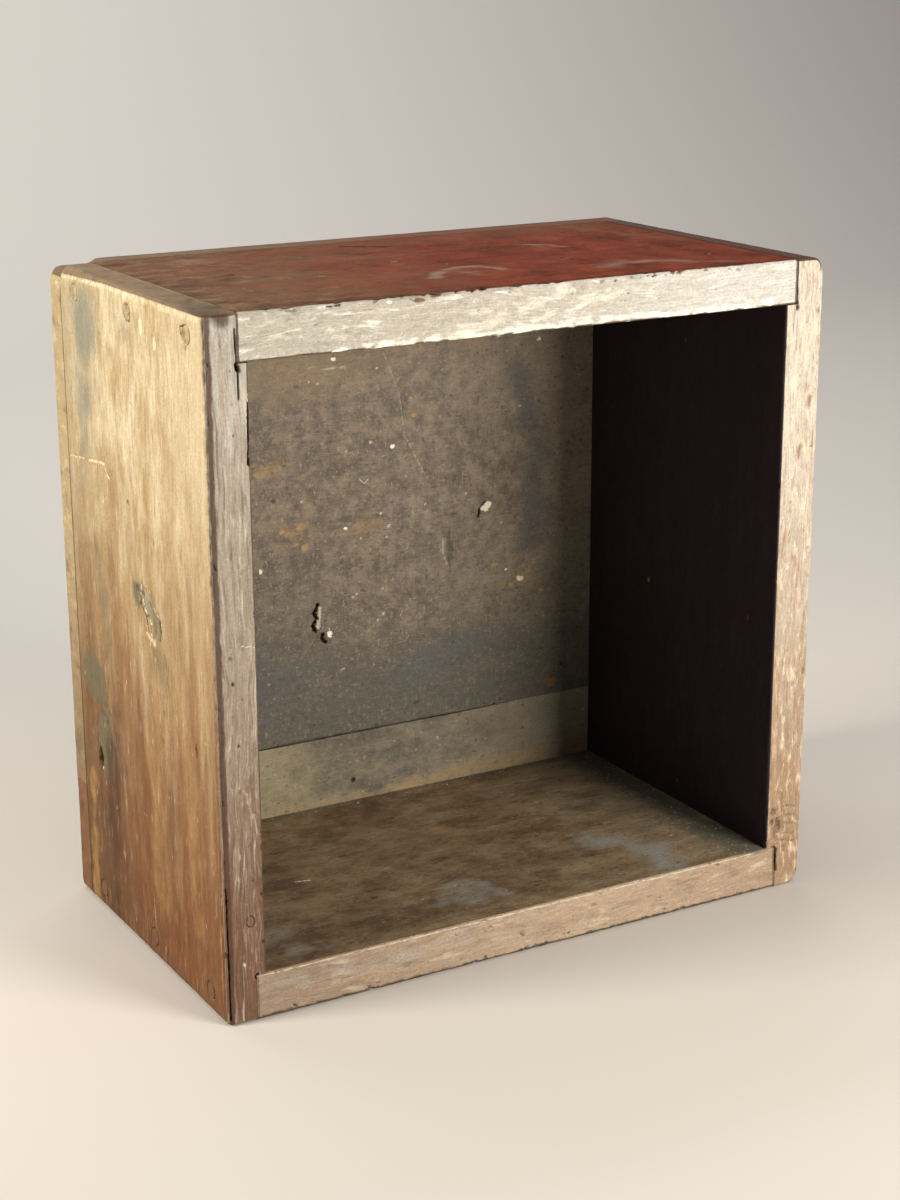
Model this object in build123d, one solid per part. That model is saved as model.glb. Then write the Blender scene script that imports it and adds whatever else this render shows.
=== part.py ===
"""Old wooden box that stands on one side wall, with its open mouth to the front.

Four boards make the walls. Each side board has a rebate across both of its ends, which takes the end of
the top or the bottom board, and forged nails driven through the side boards hold the four corners. Two
back boards lie edge to edge across the back of the frame, nailed into its rear edges.

Millimetres. X runs to the right across the mouth, Y from the mouth to the back, Z up. The origin is in
the middle of the base.
"""
from build123d import *
from math import atan, degrees
import os

# Overall size
box_width = 320.0
box_height = 320.0
frame_depth = 165.0

# Board thicknesses, each a little different, as hand-planed boards are
left_thickness = 20.5
right_thickness = 22.0
top_thickness = 21.5
bottom_thickness = 22.5
back_thickness = 14.2

# Rebates in the inner faces of the side boards
left_rebate_depth = 5.2
right_rebate_depth = 6.8

# Gaps left where the boards have shrunk
top_end_gap = 0.4
bottom_end_gap = 0.9
back_seam_gap = 0.8
narrow_back_height = 60.0

# Worn outer corners: how far the wear runs across the end of a side board and along its face
left_top_wear = (5.5, 12.5)
left_bottom_wear = (3.0, 5.0)
right_top_wear = (5.5, 12.0)
right_bottom_wear = (8.0, 11.0)

# The left board's top corner is worn that far only at the back, and fades to this at the mouth
left_top_wear_at_mouth = (1.8, 2.6)
wear_fade_power = 4
wear_sections = 5
wear_clearance = 1.0

# Worn front arrises: how far each reaches across the front edge and back along the face
left_outer_arris = (3.6, 2.4)
right_outer_arris = (1.6, 1.4)
inner_arris = (1.0, 1.2)
top_board_arris = 2.0
bottom_board_arris = 1.4
hidden_arris = 0.8

# Worn-off stretch of the back's top edge, beside its left corner
chip_length = 19.0
chip_depth = 2.1
chip_slope = 5.0

# Forged nails: faceted round head and a square shank that tapers to a short point
head_width = 9.0
head_top_width = 5.6
head_thickness = 1.7
head_sink = 0.8
head_play = 0.25
head_facets = 8
shank_width = 4.0
shank_end_width = 2.4
point_width = 0.8
point_length = 5.0
corner_nail_length = 48.0
back_nail_length = 40.0
nail_turn = 23.0

# Nail layout
corner_nail_spacing = 65.0
back_nail_spacing = 95.0
back_nail_margin = 30.0

# Planes and edges that follow from the sizes
left = -box_width / 2
right = box_width / 2
box_depth = frame_depth + back_thickness
front = -box_depth / 2
frame_rear = front + frame_depth
rear = box_depth / 2
left_shoulder = left + left_thickness - left_rebate_depth
right_shoulder = right - right_thickness + right_rebate_depth
frame_middle = (front + frame_rear) / 2
seam_bottom = narrow_back_height
seam_top = narrow_back_height + back_seam_gap


def on_xz(face, y_from, y_to):
    """Extrude a face drawn in the XZ plane between two depths."""
    return extrude(Plane.XZ.offset(-y_to) * face, amount=y_to - y_from)


def worn_corner(x_outer, z_end, wear, into_z):
    """Quarter ellipse that rounds a left-hand corner; into_z is -1 below a top end and 1 above a bottom."""
    across, along = wear
    start = 90 if into_z < 0 else 180
    return EllipticalCenterArc((x_outer + across, z_end + into_z * along), across, along, start, arc_size=90)


def top_wear_section(wear, y_level):
    """What the wear has taken off a left-hand top corner, as a face across the board at one depth."""
    across, along = wear
    outline = [
        worn_corner(left, box_height, wear, -1),
        Polyline(
            (left + across, box_height),
            (left + across, box_height + wear_clearance),
            (left - wear_clearance, box_height + wear_clearance),
            (left - wear_clearance, box_height - along),
            (left, box_height - along),
        ),
    ]
    return Plane.XZ.offset(-y_level) * make_face(outline)


def top_wear(wear_at_mouth, wear_at_back):
    """Worn-off top corner of a left-hand board, growing smoothly from the mouth to the back."""
    sections = []
    for step in range(wear_sections):
        depth_share = step / (wear_sections - 1)
        growth = depth_share**wear_fade_power
        wear = [mouth + (back - mouth) * growth for mouth, back in zip(wear_at_mouth, wear_at_back)]
        sections.append(top_wear_section(wear, front + frame_depth * depth_share))
    return loft(sections)


def side_board(thickness, rebate_depth, top_wears, bottom_wear, outer_arris):
    """Side board drawn as the left one: rebated ends, worn outer corners and eased front edges."""
    shoulder = left + thickness - rebate_depth
    inner = left + thickness
    rebate_top = box_height - top_thickness
    outline = [
        Polyline(
            (left, bottom_wear[1]),
            (left, box_height),
            (shoulder, box_height),
            (shoulder, rebate_top),
            (inner, rebate_top),
            (inner, bottom_thickness),
            (shoulder, bottom_thickness),
            (shoulder, 0),
            (left + bottom_wear[0], 0),
        ),
        worn_corner(left, 0, bottom_wear, 1),
    ]
    plan = Polyline(
        (left, frame_rear),
        (left, front + outer_arris[1]),
        (left + outer_arris[0], front),
        (inner - inner_arris[0], front),
        (inner, front + inner_arris[1]),
        (inner, frame_rear),
        close=True,
    )
    board = on_xz(make_face(outline), front, frame_rear) & extrude(make_face(plan), amount=box_height)
    return board - top_wear(*top_wears)


def cross_board(thickness, x_from, x_to, z_bottom, upper_arris, lower_arris):
    """Top or bottom board: a plank along X with eased front edges."""
    z_top = z_bottom + thickness
    section = Polyline(
        (frame_rear, z_bottom),
        (front + lower_arris, z_bottom),
        (front, z_bottom + lower_arris),
        (front, z_top - upper_arris),
        (front + upper_arris, z_top),
        (frame_rear, z_top),
        close=True,
    )
    return extrude(Plane.YZ.offset(x_from) * make_face(section), amount=x_to - x_from)


def wide_back():
    """Upper back board: worn corners, and the worn-off stretch of its top edge at the left."""
    across, along = left_top_wear
    chip_level = box_height - chip_depth
    outline = [
        Line((left, seam_top), (left, box_height - along)),
        EllipticalCenterArc((left + across, box_height - along), across, along - chip_depth, 90, arc_size=90),
        Polyline(
            (left + across, chip_level),
            (left + chip_length, chip_level),
            (left + chip_length + chip_slope, box_height),
            (right - right_top_wear[0], box_height),
        ),
        mirror(worn_corner(left, box_height, right_top_wear, -1), about=Plane.YZ),
        Polyline((right, box_height - right_top_wear[1]), (right, seam_top), (left, seam_top)),
    ]
    return on_xz(make_face(outline), frame_rear, rear)


def narrow_back():
    """Lower back board, edge to edge with the upper one."""
    outline = [
        worn_corner(left, 0, left_bottom_wear, 1),
        Polyline(
            (left, left_bottom_wear[1]),
            (left, seam_bottom),
            (right, seam_bottom),
            (right, right_bottom_wear[1]),
        ),
        mirror(worn_corner(left, 0, right_bottom_wear, 1), about=Plane.YZ),
        Line((right - right_bottom_wear[0], 0), (left + left_bottom_wear[0], 0)),
    ]
    return on_xz(make_face(outline), frame_rear, rear)


def faceted_disc(width_from, width_to, z_from, z_to):
    """Disc with flat facets round its rim, tapering up Z."""
    base = RegularPolygon(width_from / 2, head_facets, major_radius=False)
    slope = degrees(atan((width_from - width_to) / 2 / (z_to - z_from)))
    return extrude(Pos(0, 0, z_from) * base, amount=z_to - z_from, taper=slope)


def tapered_square(width_from, width_to, z_from, length):
    """Square bar that tapers down Z from z_from."""
    margin = (width_from - width_to) / 2
    far = width_from - margin
    bar = Wedge(width_from, length, width_from, margin, margin, far, far)
    return Pos(0, 0, z_from - length / 2) * Rot(-90, 0, 0) * bar


def nail(length):
    """Nail along -Z, with the wood's surface at z = 0 and the head just under it."""
    head_seat = -head_sink - head_thickness
    shank_length = length - point_length
    head = faceted_disc(head_width, head_top_width, head_seat, -head_sink)
    shank = tapered_square(shank_width, shank_end_width, head_seat, shank_length)
    point = tapered_square(shank_end_width, point_width, head_seat - shank_length, point_length)
    return head + shank + point


def head_pocket():
    """Sunken seat that the hammer left round the head, open at the wood's surface."""
    pocket_width = head_width + 2 * head_play
    return faceted_disc(pocket_width, pocket_width, -head_sink - head_thickness, head_sink)


def drive(places, direction, length):
    """Nails driven at the places given, and the holes and pockets that they leave in the wood."""
    nails = []
    holes = []
    for index, place in enumerate(places):
        seat = Plane(origin=place, x_dir=(0, 0, 1), z_dir=direction) * Rot(0, 0, nail_turn * index)
        nails.append(seat * nail(length))
        holes.append(seat * head_pocket())
    return nails, nails + holes


def corner_places(x_face, z_level):
    """Three nails in line down a corner, about the middle of the frame's depth."""
    return [(x_face, frame_middle + step * corner_nail_spacing, z_level) for step in (-1, 0, 1)]


def back_row(z_level):
    """Three nails along the top or the bottom of the back."""
    return [(step * back_nail_spacing, rear, z_level) for step in (-1, 0, 1)]


def back_column(x_level, z_from, z_to, count):
    """Nails up one side of a back board, evenly spaced between two heights."""
    if count == 1:
        return [(x_level, rear, (z_from + z_to) / 2)]
    pitch = (z_to - z_from) / (count - 1)
    return [(x_level, rear, z_from + pitch * index) for index in range(count)]


# Heights and lines that the nails follow: the middle of each board that they are driven into
top_nail_level = box_height - top_thickness / 2
bottom_nail_level = bottom_thickness / 2
left_nail_line = left + left_thickness / 2
right_nail_line = right - right_thickness / 2
wide_from = seam_top + back_nail_margin
wide_to = box_height - top_thickness - back_nail_margin / 2
narrow_from = bottom_thickness
narrow_to = seam_bottom

outward_left = (-1, 0, 0)
outward_right = (1, 0, 0)
outward_back = (0, 1, 0)

nail_sets = {
    "left_top_nails": drive(corner_places(left, top_nail_level), outward_left, corner_nail_length),
    "left_bottom_nails": drive(corner_places(left, bottom_nail_level), outward_left, corner_nail_length),
    "right_top_nails": drive(corner_places(right, top_nail_level), outward_right, corner_nail_length),
    "right_bottom_nails": drive(corner_places(right, bottom_nail_level), outward_right, corner_nail_length),
    "wide_back_nails": drive(
        back_row(top_nail_level)
        + back_column(left_nail_line, wide_from, wide_to, 3)
        + back_column(right_nail_line, wide_from, wide_to, 3),
        outward_back,
        back_nail_length,
    ),
    "narrow_back_nails": drive(
        back_row(bottom_nail_level)
        + back_column(left_nail_line, narrow_from, narrow_to, 1)
        + back_column(right_nail_line, narrow_from, narrow_to, 1),
        outward_back,
        back_nail_length,
    ),
}

boards = {
    "left_board": side_board(
        left_thickness,
        left_rebate_depth,
        (left_top_wear_at_mouth, left_top_wear),
        left_bottom_wear,
        left_outer_arris,
    ),
    "right_board": mirror(
        side_board(
            right_thickness,
            right_rebate_depth,
            (right_top_wear, right_top_wear),
            right_bottom_wear,
            right_outer_arris,
        ),
        about=Plane.YZ,
    ),
    "top_board": cross_board(
        top_thickness,
        left_shoulder,
        right_shoulder - top_end_gap,
        box_height - top_thickness,
        top_board_arris,
        hidden_arris,
    ),
    "bottom_board": cross_board(
        bottom_thickness,
        left_shoulder,
        right_shoulder - bottom_end_gap,
        0,
        bottom_board_arris,
        hidden_arris,
    ),
    "back_wide_board": wide_back(),
    "back_narrow_board": narrow_back(),
}

# Which nails pass through which board
nails_through = {
    "left_board": ["left_top_nails", "left_bottom_nails", "wide_back_nails", "narrow_back_nails"],
    "right_board": ["right_top_nails", "right_bottom_nails", "wide_back_nails", "narrow_back_nails"],
    "top_board": ["left_top_nails", "right_top_nails", "wide_back_nails"],
    "bottom_board": ["left_bottom_nails", "right_bottom_nails", "narrow_back_nails"],
    "back_wide_board": ["wide_back_nails"],
    "back_narrow_board": ["narrow_back_nails"],
}

os.makedirs("parts", exist_ok=True)
for name, board in boards.items():
    for set_name in nails_through[name]:
        for hole in nail_sets[set_name][1]:
            board = board - hole
    export_step(board, f"parts/{name}.step")
for set_name, (nails, holes) in nail_sets.items():
    export_step(Compound(children=nails), f"parts/{set_name}.step")
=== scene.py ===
"""Old nailed wooden box that stands on one side wall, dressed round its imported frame.

Six boards and six sets of forged nails. Every board is built as a fine lattice, its edges are worn down,
and dents, cracks, nail pockets and grain are pressed into it. Two edges move out a little, into the gap
beside them. The tables give millimetres on each board's own axes: along the grain, across it, and inwards
from its outer face.
"""

import math

import bmesh
import bpy
import numpy as np
from mathutils import Matrix, Vector


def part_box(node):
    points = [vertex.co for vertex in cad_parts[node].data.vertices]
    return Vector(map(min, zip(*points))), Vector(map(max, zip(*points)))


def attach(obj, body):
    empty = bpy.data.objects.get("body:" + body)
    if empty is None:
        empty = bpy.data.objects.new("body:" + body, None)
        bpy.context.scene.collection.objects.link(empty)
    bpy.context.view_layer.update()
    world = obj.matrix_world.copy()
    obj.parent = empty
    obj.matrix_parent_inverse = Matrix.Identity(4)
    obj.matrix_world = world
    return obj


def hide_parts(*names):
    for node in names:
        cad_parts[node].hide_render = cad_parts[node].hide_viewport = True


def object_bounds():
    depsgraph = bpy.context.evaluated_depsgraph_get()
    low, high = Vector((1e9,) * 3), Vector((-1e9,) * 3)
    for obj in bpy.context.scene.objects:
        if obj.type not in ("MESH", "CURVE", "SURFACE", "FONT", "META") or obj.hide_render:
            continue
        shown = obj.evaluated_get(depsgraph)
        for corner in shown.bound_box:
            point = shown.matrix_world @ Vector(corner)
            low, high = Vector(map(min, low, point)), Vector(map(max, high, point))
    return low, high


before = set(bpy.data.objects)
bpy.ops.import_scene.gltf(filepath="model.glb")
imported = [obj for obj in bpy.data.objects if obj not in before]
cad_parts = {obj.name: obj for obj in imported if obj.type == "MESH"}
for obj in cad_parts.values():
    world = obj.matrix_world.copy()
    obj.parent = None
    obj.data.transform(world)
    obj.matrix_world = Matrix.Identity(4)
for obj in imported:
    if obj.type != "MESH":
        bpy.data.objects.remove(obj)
cad_low, cad_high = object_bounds()

MM = 0.001

# Axes of every board: the frame axis of its grain, the one across it, and the way in from its outer face
board_axes = {
    "left_board": (2, 1, 0, 1),
    "right_board": (2, 1, 0, -1),
    "top_board": (0, 1, 2, -1),
    "bottom_board": (0, 1, 2, 1),
    "back_wide_board": (0, 2, 1, -1),
    "back_narrow_board": (0, 2, 1, -1),
}

# Faces of a board, each as the axis that it stands square to and its end of that axis
faces = {
    "outer": (2, 0),
    "inner": (2, 1),
    "front": (1, 0),
    "rear": (1, 1),
    "start": (0, 0),
    "stop": (0, 1),
}


def linear(code):
    """Linear colour from an sRGB hex code."""
    parts = [int(code[i : i + 2], 16) / 255 for i in (0, 2, 4)]
    return [p / 12.92 if p <= 0.04045 else ((p + 0.055) / 1.055) ** 2.4 for p in parts] + [1.0]


def smooth(value, low, high):
    """Soft step from 0 at low to 1 at high."""
    share = np.clip((value - low) / (high - low), 0, 1)
    return share * share * (3 - 2 * share)


def off_face(places, size, face):
    """How far each place lies from the plane of a board's face."""
    axis, end = faces[face]
    return np.abs(places[:, axis] - end * size[axis])


def linked(name, data):
    """New object in the scene, at the origin."""
    made = bpy.data.objects.new(name, data)
    bpy.context.scene.collection.objects.link(made)
    return made


def wood_noise(points, sizes, seed, octaves=1):
    """Gradient noise of about -1 to 1 at (n, 3) points; sizes are its grain in the points' own units."""
    scaled = points / np.array(sizes, float) + seed * 17.31
    total = np.zeros(len(points))
    for octave in range(octaves):
        spot = scaled * 2.0**octave
        cell = np.floor(spot).astype(np.int64)
        part = spot - cell
        fade = part**3 * (part * (part * 6 - 15) + 10)
        level = np.zeros(len(points))
        for corner in np.ndindex(2, 2, 2):
            # Random slope of this corner of the cell, hashed from its place with large primes
            key = (cell + corner) @ np.array([73856093, 19349663, 83492791]) + seed * 7919 + octave * 101
            key = (key ^ (key >> 13)) * 1274126177
            key = key ^ (key >> 16)
            slope = np.stack([(key >> shift) & 1023 for shift in (0, 10, 20)], 1) / 511.5 - 1
            share = np.prod(np.where(np.array(corner, bool), fade, 1 - fade), axis=1)
            level += share * np.sum(slope * (part - corner), axis=1)
        total += level * 1.5 / 2.0**octave
    return total


# Lattice

edge_steps = (0, 0.35, 0.75, 1.2, 1.8, 2.6, 3.6)


def lattice_lines(length, step, cuts=()):
    """Lattice lines over a length, a step apart and closer beside its ends and at the cuts."""
    lines = []
    stops = sorted({0.0, length, *cuts})
    for start, stop in zip(stops, stops[1:]):
        close = [v for v in edge_steps if v < (stop - start) / 2 - 0.2]
        inner = stop - start - 2 * close[-1]
        count = max(1, round(inner / step))
        middle = [start + close[-1] + inner * i / count for i in range(count + 1)]
        lines += [start + v for v in close[:-1]] + middle + [stop - v for v in close[-2::-1]]
    return np.unique(np.round(lines, 4))


def lattice_shell(lines, keep):
    """Points and quads of the closed shell round the kept cells of a lattice."""
    solid = np.zeros([len(line) + 1 for line in lines], bool)
    solid[1:-1, 1:-1, 1:-1] = keep
    counts = [len(line) for line in lines]
    quads = []
    for axis in range(3):
        side_u, side_v = (axis + 1) % 3, (axis + 2) % 3
        cells = np.moveaxis(solid, axis, 0)
        change = cells[:-1].astype(int) - cells[1:].astype(int)
        for sign in (1, -1):
            plane, *others = np.nonzero(change == sign)
            rest = [a for a in range(3) if a != axis]
            place = dict(zip(rest, others))
            loop = []
            for du, dv in ((0, 0), (1, 0), (1, 1), (0, 1)):
                index = [None] * 3
                index[axis] = plane
                index[side_u] = place[side_u] - 1 + du
                index[side_v] = place[side_v] - 1 + dv
                loop.append(np.ravel_multi_index(index, counts))
            quads.append(np.stack(loop[::sign], 1))
    quads = np.concatenate(quads)
    used, quads = np.unique(quads, return_inverse=True)
    places = np.unravel_index(used, counts)
    points = np.stack([line[i] for line, i in zip(lines, places)], 1)
    return points, quads.reshape(-1, 4)


# Marks on the wood, in millimetres on the two axes of a face

def mark(tone, line, reach, strength, deep, rim, ragged, fine, turn=0.0):
    """One mark: its tone, place, reach, strength and depth, how soft and ragged it is, how fine its cells."""
    return dict(tone=tone, line=line, reach=reach, strength=strength, deep=deep, rim=rim, ragged=ragged,
                fine=fine, turn=turn)


def stain(tone, u, v, ru, rv, strength, rim=1.0, ragged=0.5):
    """Tone inside a ragged ellipse, with no hollow."""
    return mark(tone, [(u, v)], (ru, rv), strength, 0.0, rim, ragged, None)


def dent(tone, u, v, ru, rv, strength, deep, rim=0.5, turn=0.0, ragged=0.5, fine=0.5):
    """Hollow inside a ragged ellipse, with a tone or none."""
    return mark(tone, [(u, v)], (ru, rv), strength, deep, rim, ragged, fine, turn)


def streak(tone, line, width, strength, rim=1.0, ragged=0.6):
    """Tone along a line of points, with no hollow; the width is from its middle to its side."""
    return mark(tone, line, (width, width), strength, 0.0, rim, ragged, None)


def crack(tone, line, width, strength, deep, rim=0.6, ragged=0.7, fine=0.5):
    """Crack or scratch along a line of points; the width is from its middle to its side."""
    return mark(tone, line, (width, width), strength, deep, rim, ragged, fine)


def ring(tone, u, v, ru, rv, width, strength, deep=0.0, rim=1.0, ragged=0.7, fine=None):
    """Closed line round an ellipse, as a knot or a nail head leaves it."""
    turns = [math.radians(step * 22.5) for step in range(17)]
    line = [(u + ru * math.cos(t), v + rv * math.sin(t)) for t in turns]
    return mark(tone, line, (width, width), strength, deep, rim, ragged, fine)


def nicks(tone, start, stop, count, reach, deep, seed, strength, spread):
    """Small chips scattered beside a line, as knocks leave them along an arris."""
    random = np.random.default_rng(seed)
    made = []
    for _ in range(count):
        share = random.random()
        u, v = np.array(start) * (1 - share) + np.array(stop) * share + random.normal(0, spread, 2)
        wide = reach * random.uniform(0.5, 1.5)
        long = wide * random.uniform(0.9, 2.4)
        shown = strength * random.uniform(0.5, 1.1)
        sunk = deep * random.uniform(0.4, 1.0)
        turn = random.uniform(-30, 30)
        made.append(dent(tone, u, v, long, wide, shown, sunk, rim=0.6, turn=turn, fine=0.6))
    return made


def nail_pockets(places):
    """Seats that the hammer left round the nail heads, with the wood stained by their rust."""
    made = []
    for u, v in places:
        made.append(dent(None, u, v, 4.7, 4.7, 1.0, 1.3, rim=0.14, ragged=0.05, fine=0.45))
        made.append(stain("grime_and_shade", u, v, 8.0, 5.5, 0.22))
    return made


def specks(tone, places, deep=0.25):
    """Small knocks that show another colour, each given by its place and its reach."""
    return [dent(tone, u, v, r * 1.3, r, 1.3, deep, rim=0.8, fine=0.6) for u, v, r in places]


def on(face, *marks):
    """Marks, and lists of marks, set on one face of a board."""
    made = []
    for entry in marks:
        made += [{**one, "face": face} for one in (entry if isinstance(entry, list) else [entry])]
    return made


# How far below its face a mark still counts, how far beyond its reach the cells grow finer, and how often
mark_depth = 4.0
finer_margin = 1.2
finer_rounds = 4


def on_plane(places, face):
    """The two measures of each place along a face, in the order of the board's axes."""
    return places[:, [a for a in range(3) if a != faces[face][0]]]


def beside(mark, places, size, margin):
    """Which places lie near enough to a mark for it to matter."""
    flat = on_plane(places, mark["face"])
    reach = max(mark["reach"]) * (1 + 2 * mark["ragged"]) + margin
    near = off_face(places, size, mark["face"]) < mark_depth
    for values, line in zip(flat.T, zip(*mark["line"])):
        near &= (values > min(line) - reach) & (values < max(line) + reach)
    return np.nonzero(near)[0]


def mark_distance(mark, places, size):
    """How far each place lies from a mark's middle, as a share of its reach, and how far off its face."""
    here = on_plane(places, mark["face"])
    off = off_face(places, size, mark["face"])
    if len(mark["line"]) == 1:
        u, v = (here - mark["line"][0]).T
        turn = math.radians(mark["turn"])
        along = u * math.cos(turn) + v * math.sin(turn)
        across = v * math.cos(turn) - u * math.sin(turn)
        return np.hypot(along / mark["reach"][0], across / mark["reach"][1]), off
    nearest = np.full(len(here), np.inf)
    for start, stop in zip(mark["line"], mark["line"][1:]):
        step = np.subtract(stop, start)
        share = np.clip((here - start) @ step / (step @ step), 0, 1)
        nearest = np.minimum(nearest, np.linalg.norm(here - start - share[:, None] * step, axis=1))
    return nearest / mark["reach"][0], off


def refined(points, quads, marks, size):
    """The lattice as a bmesh, with its cells divided near each mark until they are as fine as it asks."""
    mesh = bpy.data.meshes.new("lattice")
    mesh.from_pydata(points.tolist(), [], quads.tolist())
    shell = bmesh.new()
    shell.from_mesh(mesh)
    bpy.data.meshes.remove(mesh)
    for _ in range(finer_rounds):
        ends = np.array([[*e.verts[0].co, *e.verts[1].co] for e in shell.edges])
        middle = (ends[:, :3] + ends[:, 3:]) / 2
        length = np.linalg.norm(ends[:, :3] - ends[:, 3:], axis=1)
        wanted = np.zeros(len(middle), bool)
        for mark in marks:
            if mark["fine"] is None:
                continue
            close = beside(mark, middle, size, finer_margin)
            share, off = mark_distance(mark, middle[close], size)
            limit = 1 + finer_margin / min(mark["reach"]) + mark["ragged"] * 0.6
            wanted[close] |= (share < limit) & (off < 1.5) & (length[close] > 1.5 * mark["fine"])
        if not wanted.any():
            break
        chosen = [e for e, w in zip(shell.edges, wanted) if w]
        bmesh.ops.subdivide_edges(shell, edges=chosen, cuts=1, use_grid_fill=True)
    return shell


# Worn edges

def worn_edge(places, near, wear, power):
    """Shifts that wear the edge between two faces down to an arc; near holds an axis and its plane twice."""
    (axis_p, plane_p), (axis_q, plane_q) = near
    p = np.abs(places[:, axis_p] - plane_p) / wear[0]
    q = np.abs(places[:, axis_q] - plane_q) / wear[1]
    x = np.clip(1 - p, 0, 1)
    y = np.clip(1 - q, 0, 1)
    inside = (x > 0) & (y > 0)
    span = np.where(inside, x**power + y**power, 1.0) ** (1 / power)
    scale = np.where(inside, np.maximum(x, y) / span, 1.0)
    shift_p = np.where(inside, wear[0] * x * (1 - scale), 0.0)
    shift_q = np.where(inside, wear[1] * y * (1 - scale), 0.0)
    return shift_p, shift_q


def wear_down(places, size, edges, seed):
    """Wears every edge of a board, each with its own reach, a little uneven along its length."""
    shifts = np.zeros_like(places)
    for number, (near, wear, power, uneven) in enumerate(edges):
        rough = wood_noise(places, (9, 9, 9), seed + number, 3)
        slow = wood_noise(places, (45, 45, 45), seed + number + 40, 1)
        share = np.clip(1 + uneven * (0.7 * rough + 0.8 * slow), 0.25, 2.2)
        planes = [(faces[name][0], faces[name][1] * size[faces[name][0]]) for name in near]
        reach = wear(places, size) if callable(wear) else wear
        moved = worn_edge(places, planes, (reach[0] * share, reach[1] * share), power)
        for (axis, plane), shift in zip(planes, moved):
            inward = shift if plane == 0 else -shift
            shifts[:, axis] = np.where(np.abs(inward) > np.abs(shifts[:, axis]), inward, shifts[:, axis])
    return shifts


# One board, in millimetres on its own axes until it is set in place

def on_face(places, size, face, reach=2.0):
    """Mask that is 1 on a face and fades out within its reach."""
    return 1 - smooth(off_face(places, size, face), 0.4, reach)


def rebate_cuts(spec, size):
    """Where the rebates of a side board start, along it and into it; a plain board has none."""
    rebate = spec.get("rebate")
    if not rebate:
        return (), ()
    return (rebate["bottom"], size[0] - rebate["top"]), (size[2] - rebate["deep"],)


def board_shell(spec, marks, size):
    """Lattice of a board, less the cells that its rebates take away, and finer near its marks."""
    cuts_along, cuts_in = rebate_cuts(spec, size)
    lines = [
        lattice_lines(length, step, cuts)
        for length, step, cuts in zip(size, spec["steps"], (cuts_along, (), cuts_in))
    ]
    keep = np.ones([len(line) - 1 for line in lines], bool)
    if cuts_along:
        along, _, inward = [(line[1:] + line[:-1]) / 2 for line in lines]
        ends = (along < cuts_along[0]) | (along > cuts_along[1])
        keep[np.ix_(ends, np.ones(keep.shape[1], bool), inward > cuts_in[0])] = False
    points, quads = lattice_shell(lines, keep)
    return refined(points, quads, marks, size)


def mesh_vectors(items, field):
    """Field of a mesh's items as one row of three numbers each."""
    flat = np.empty(len(items) * 3, np.float32)
    items.foreach_get(field, flat)
    return flat.reshape(-1, 3).astype(float)


def press_marks(spec, marks, places, size):
    """How deep each place is pressed into the wood, and how much of each tone it shows."""
    seed = spec["seed"]
    deep = np.zeros(len(places))
    for sizes, amount, octaves in spec["relief"]:
        deep += amount * (0.5 + 0.5 * np.clip(wood_noise(places, sizes, seed + 7, octaves), -1, 1))
    tones = {tone: np.zeros(len(places)) for tone in tone_layers}
    for number, mark in enumerate(marks):
        near = beside(mark, places, size, 0.0)
        if not len(near):
            continue
        share, off = mark_distance(mark, places[near], size)
        grain = max(1.0, min(mark["reach"]))
        ripple = wood_noise(places[near], (grain * 1.6, grain * 0.9, grain * 0.9), seed + 90 + number, 3)
        ragged = share + mark["ragged"] * ripple
        amount = smooth(1 - ragged, 0, mark["rim"]) * (1 - smooth(off, 0.8, 3.2))
        deep[near] += mark["deep"] * amount
        if mark["tone"]:
            tone = tones[mark["tone"]]
            tone[near] = np.maximum(tone[near], mark["strength"] * amount)
    return deep, tones


def keep_planes(pressed, spec, places, size):
    """Takes the pressing off the faces that touch another board."""
    for face in spec["tight"]:
        pressed[:, faces[face][0]] *= smooth(off_face(places, size, face), -0.1, 0.5)
    cuts_along, cuts_in = rebate_cuts(spec, size)
    if cuts_along:
        seat = (places[:, 0] < cuts_along[0] + 0.01) | (places[:, 0] > cuts_along[1] - 0.01)
        seat &= places[:, 2] > cuts_in[0] - 0.01
        pressed[seat, 0] = 0
        pressed[seat, 2] = 0


def face_masks(places, size):
    """Masks that the finish reads: the faces of the board, and how far along and across it a place is."""
    along = places[:, 0] / size[0]
    across = places[:, 1] / size[1]
    return {
        "front": on_face(places, size, "front", 2.2),
        "inside": on_face(places, size, "inner"),
        "outside": on_face(places, size, "outer"),
        "rear": on_face(places, size, "rear"),
        "ends": np.maximum(on_face(places, size, "start"), on_face(places, size, "stop")),
        "start": 1 - along,
        "stop": along,
        "near": 1 - across,
        "far": across,
    }


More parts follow.
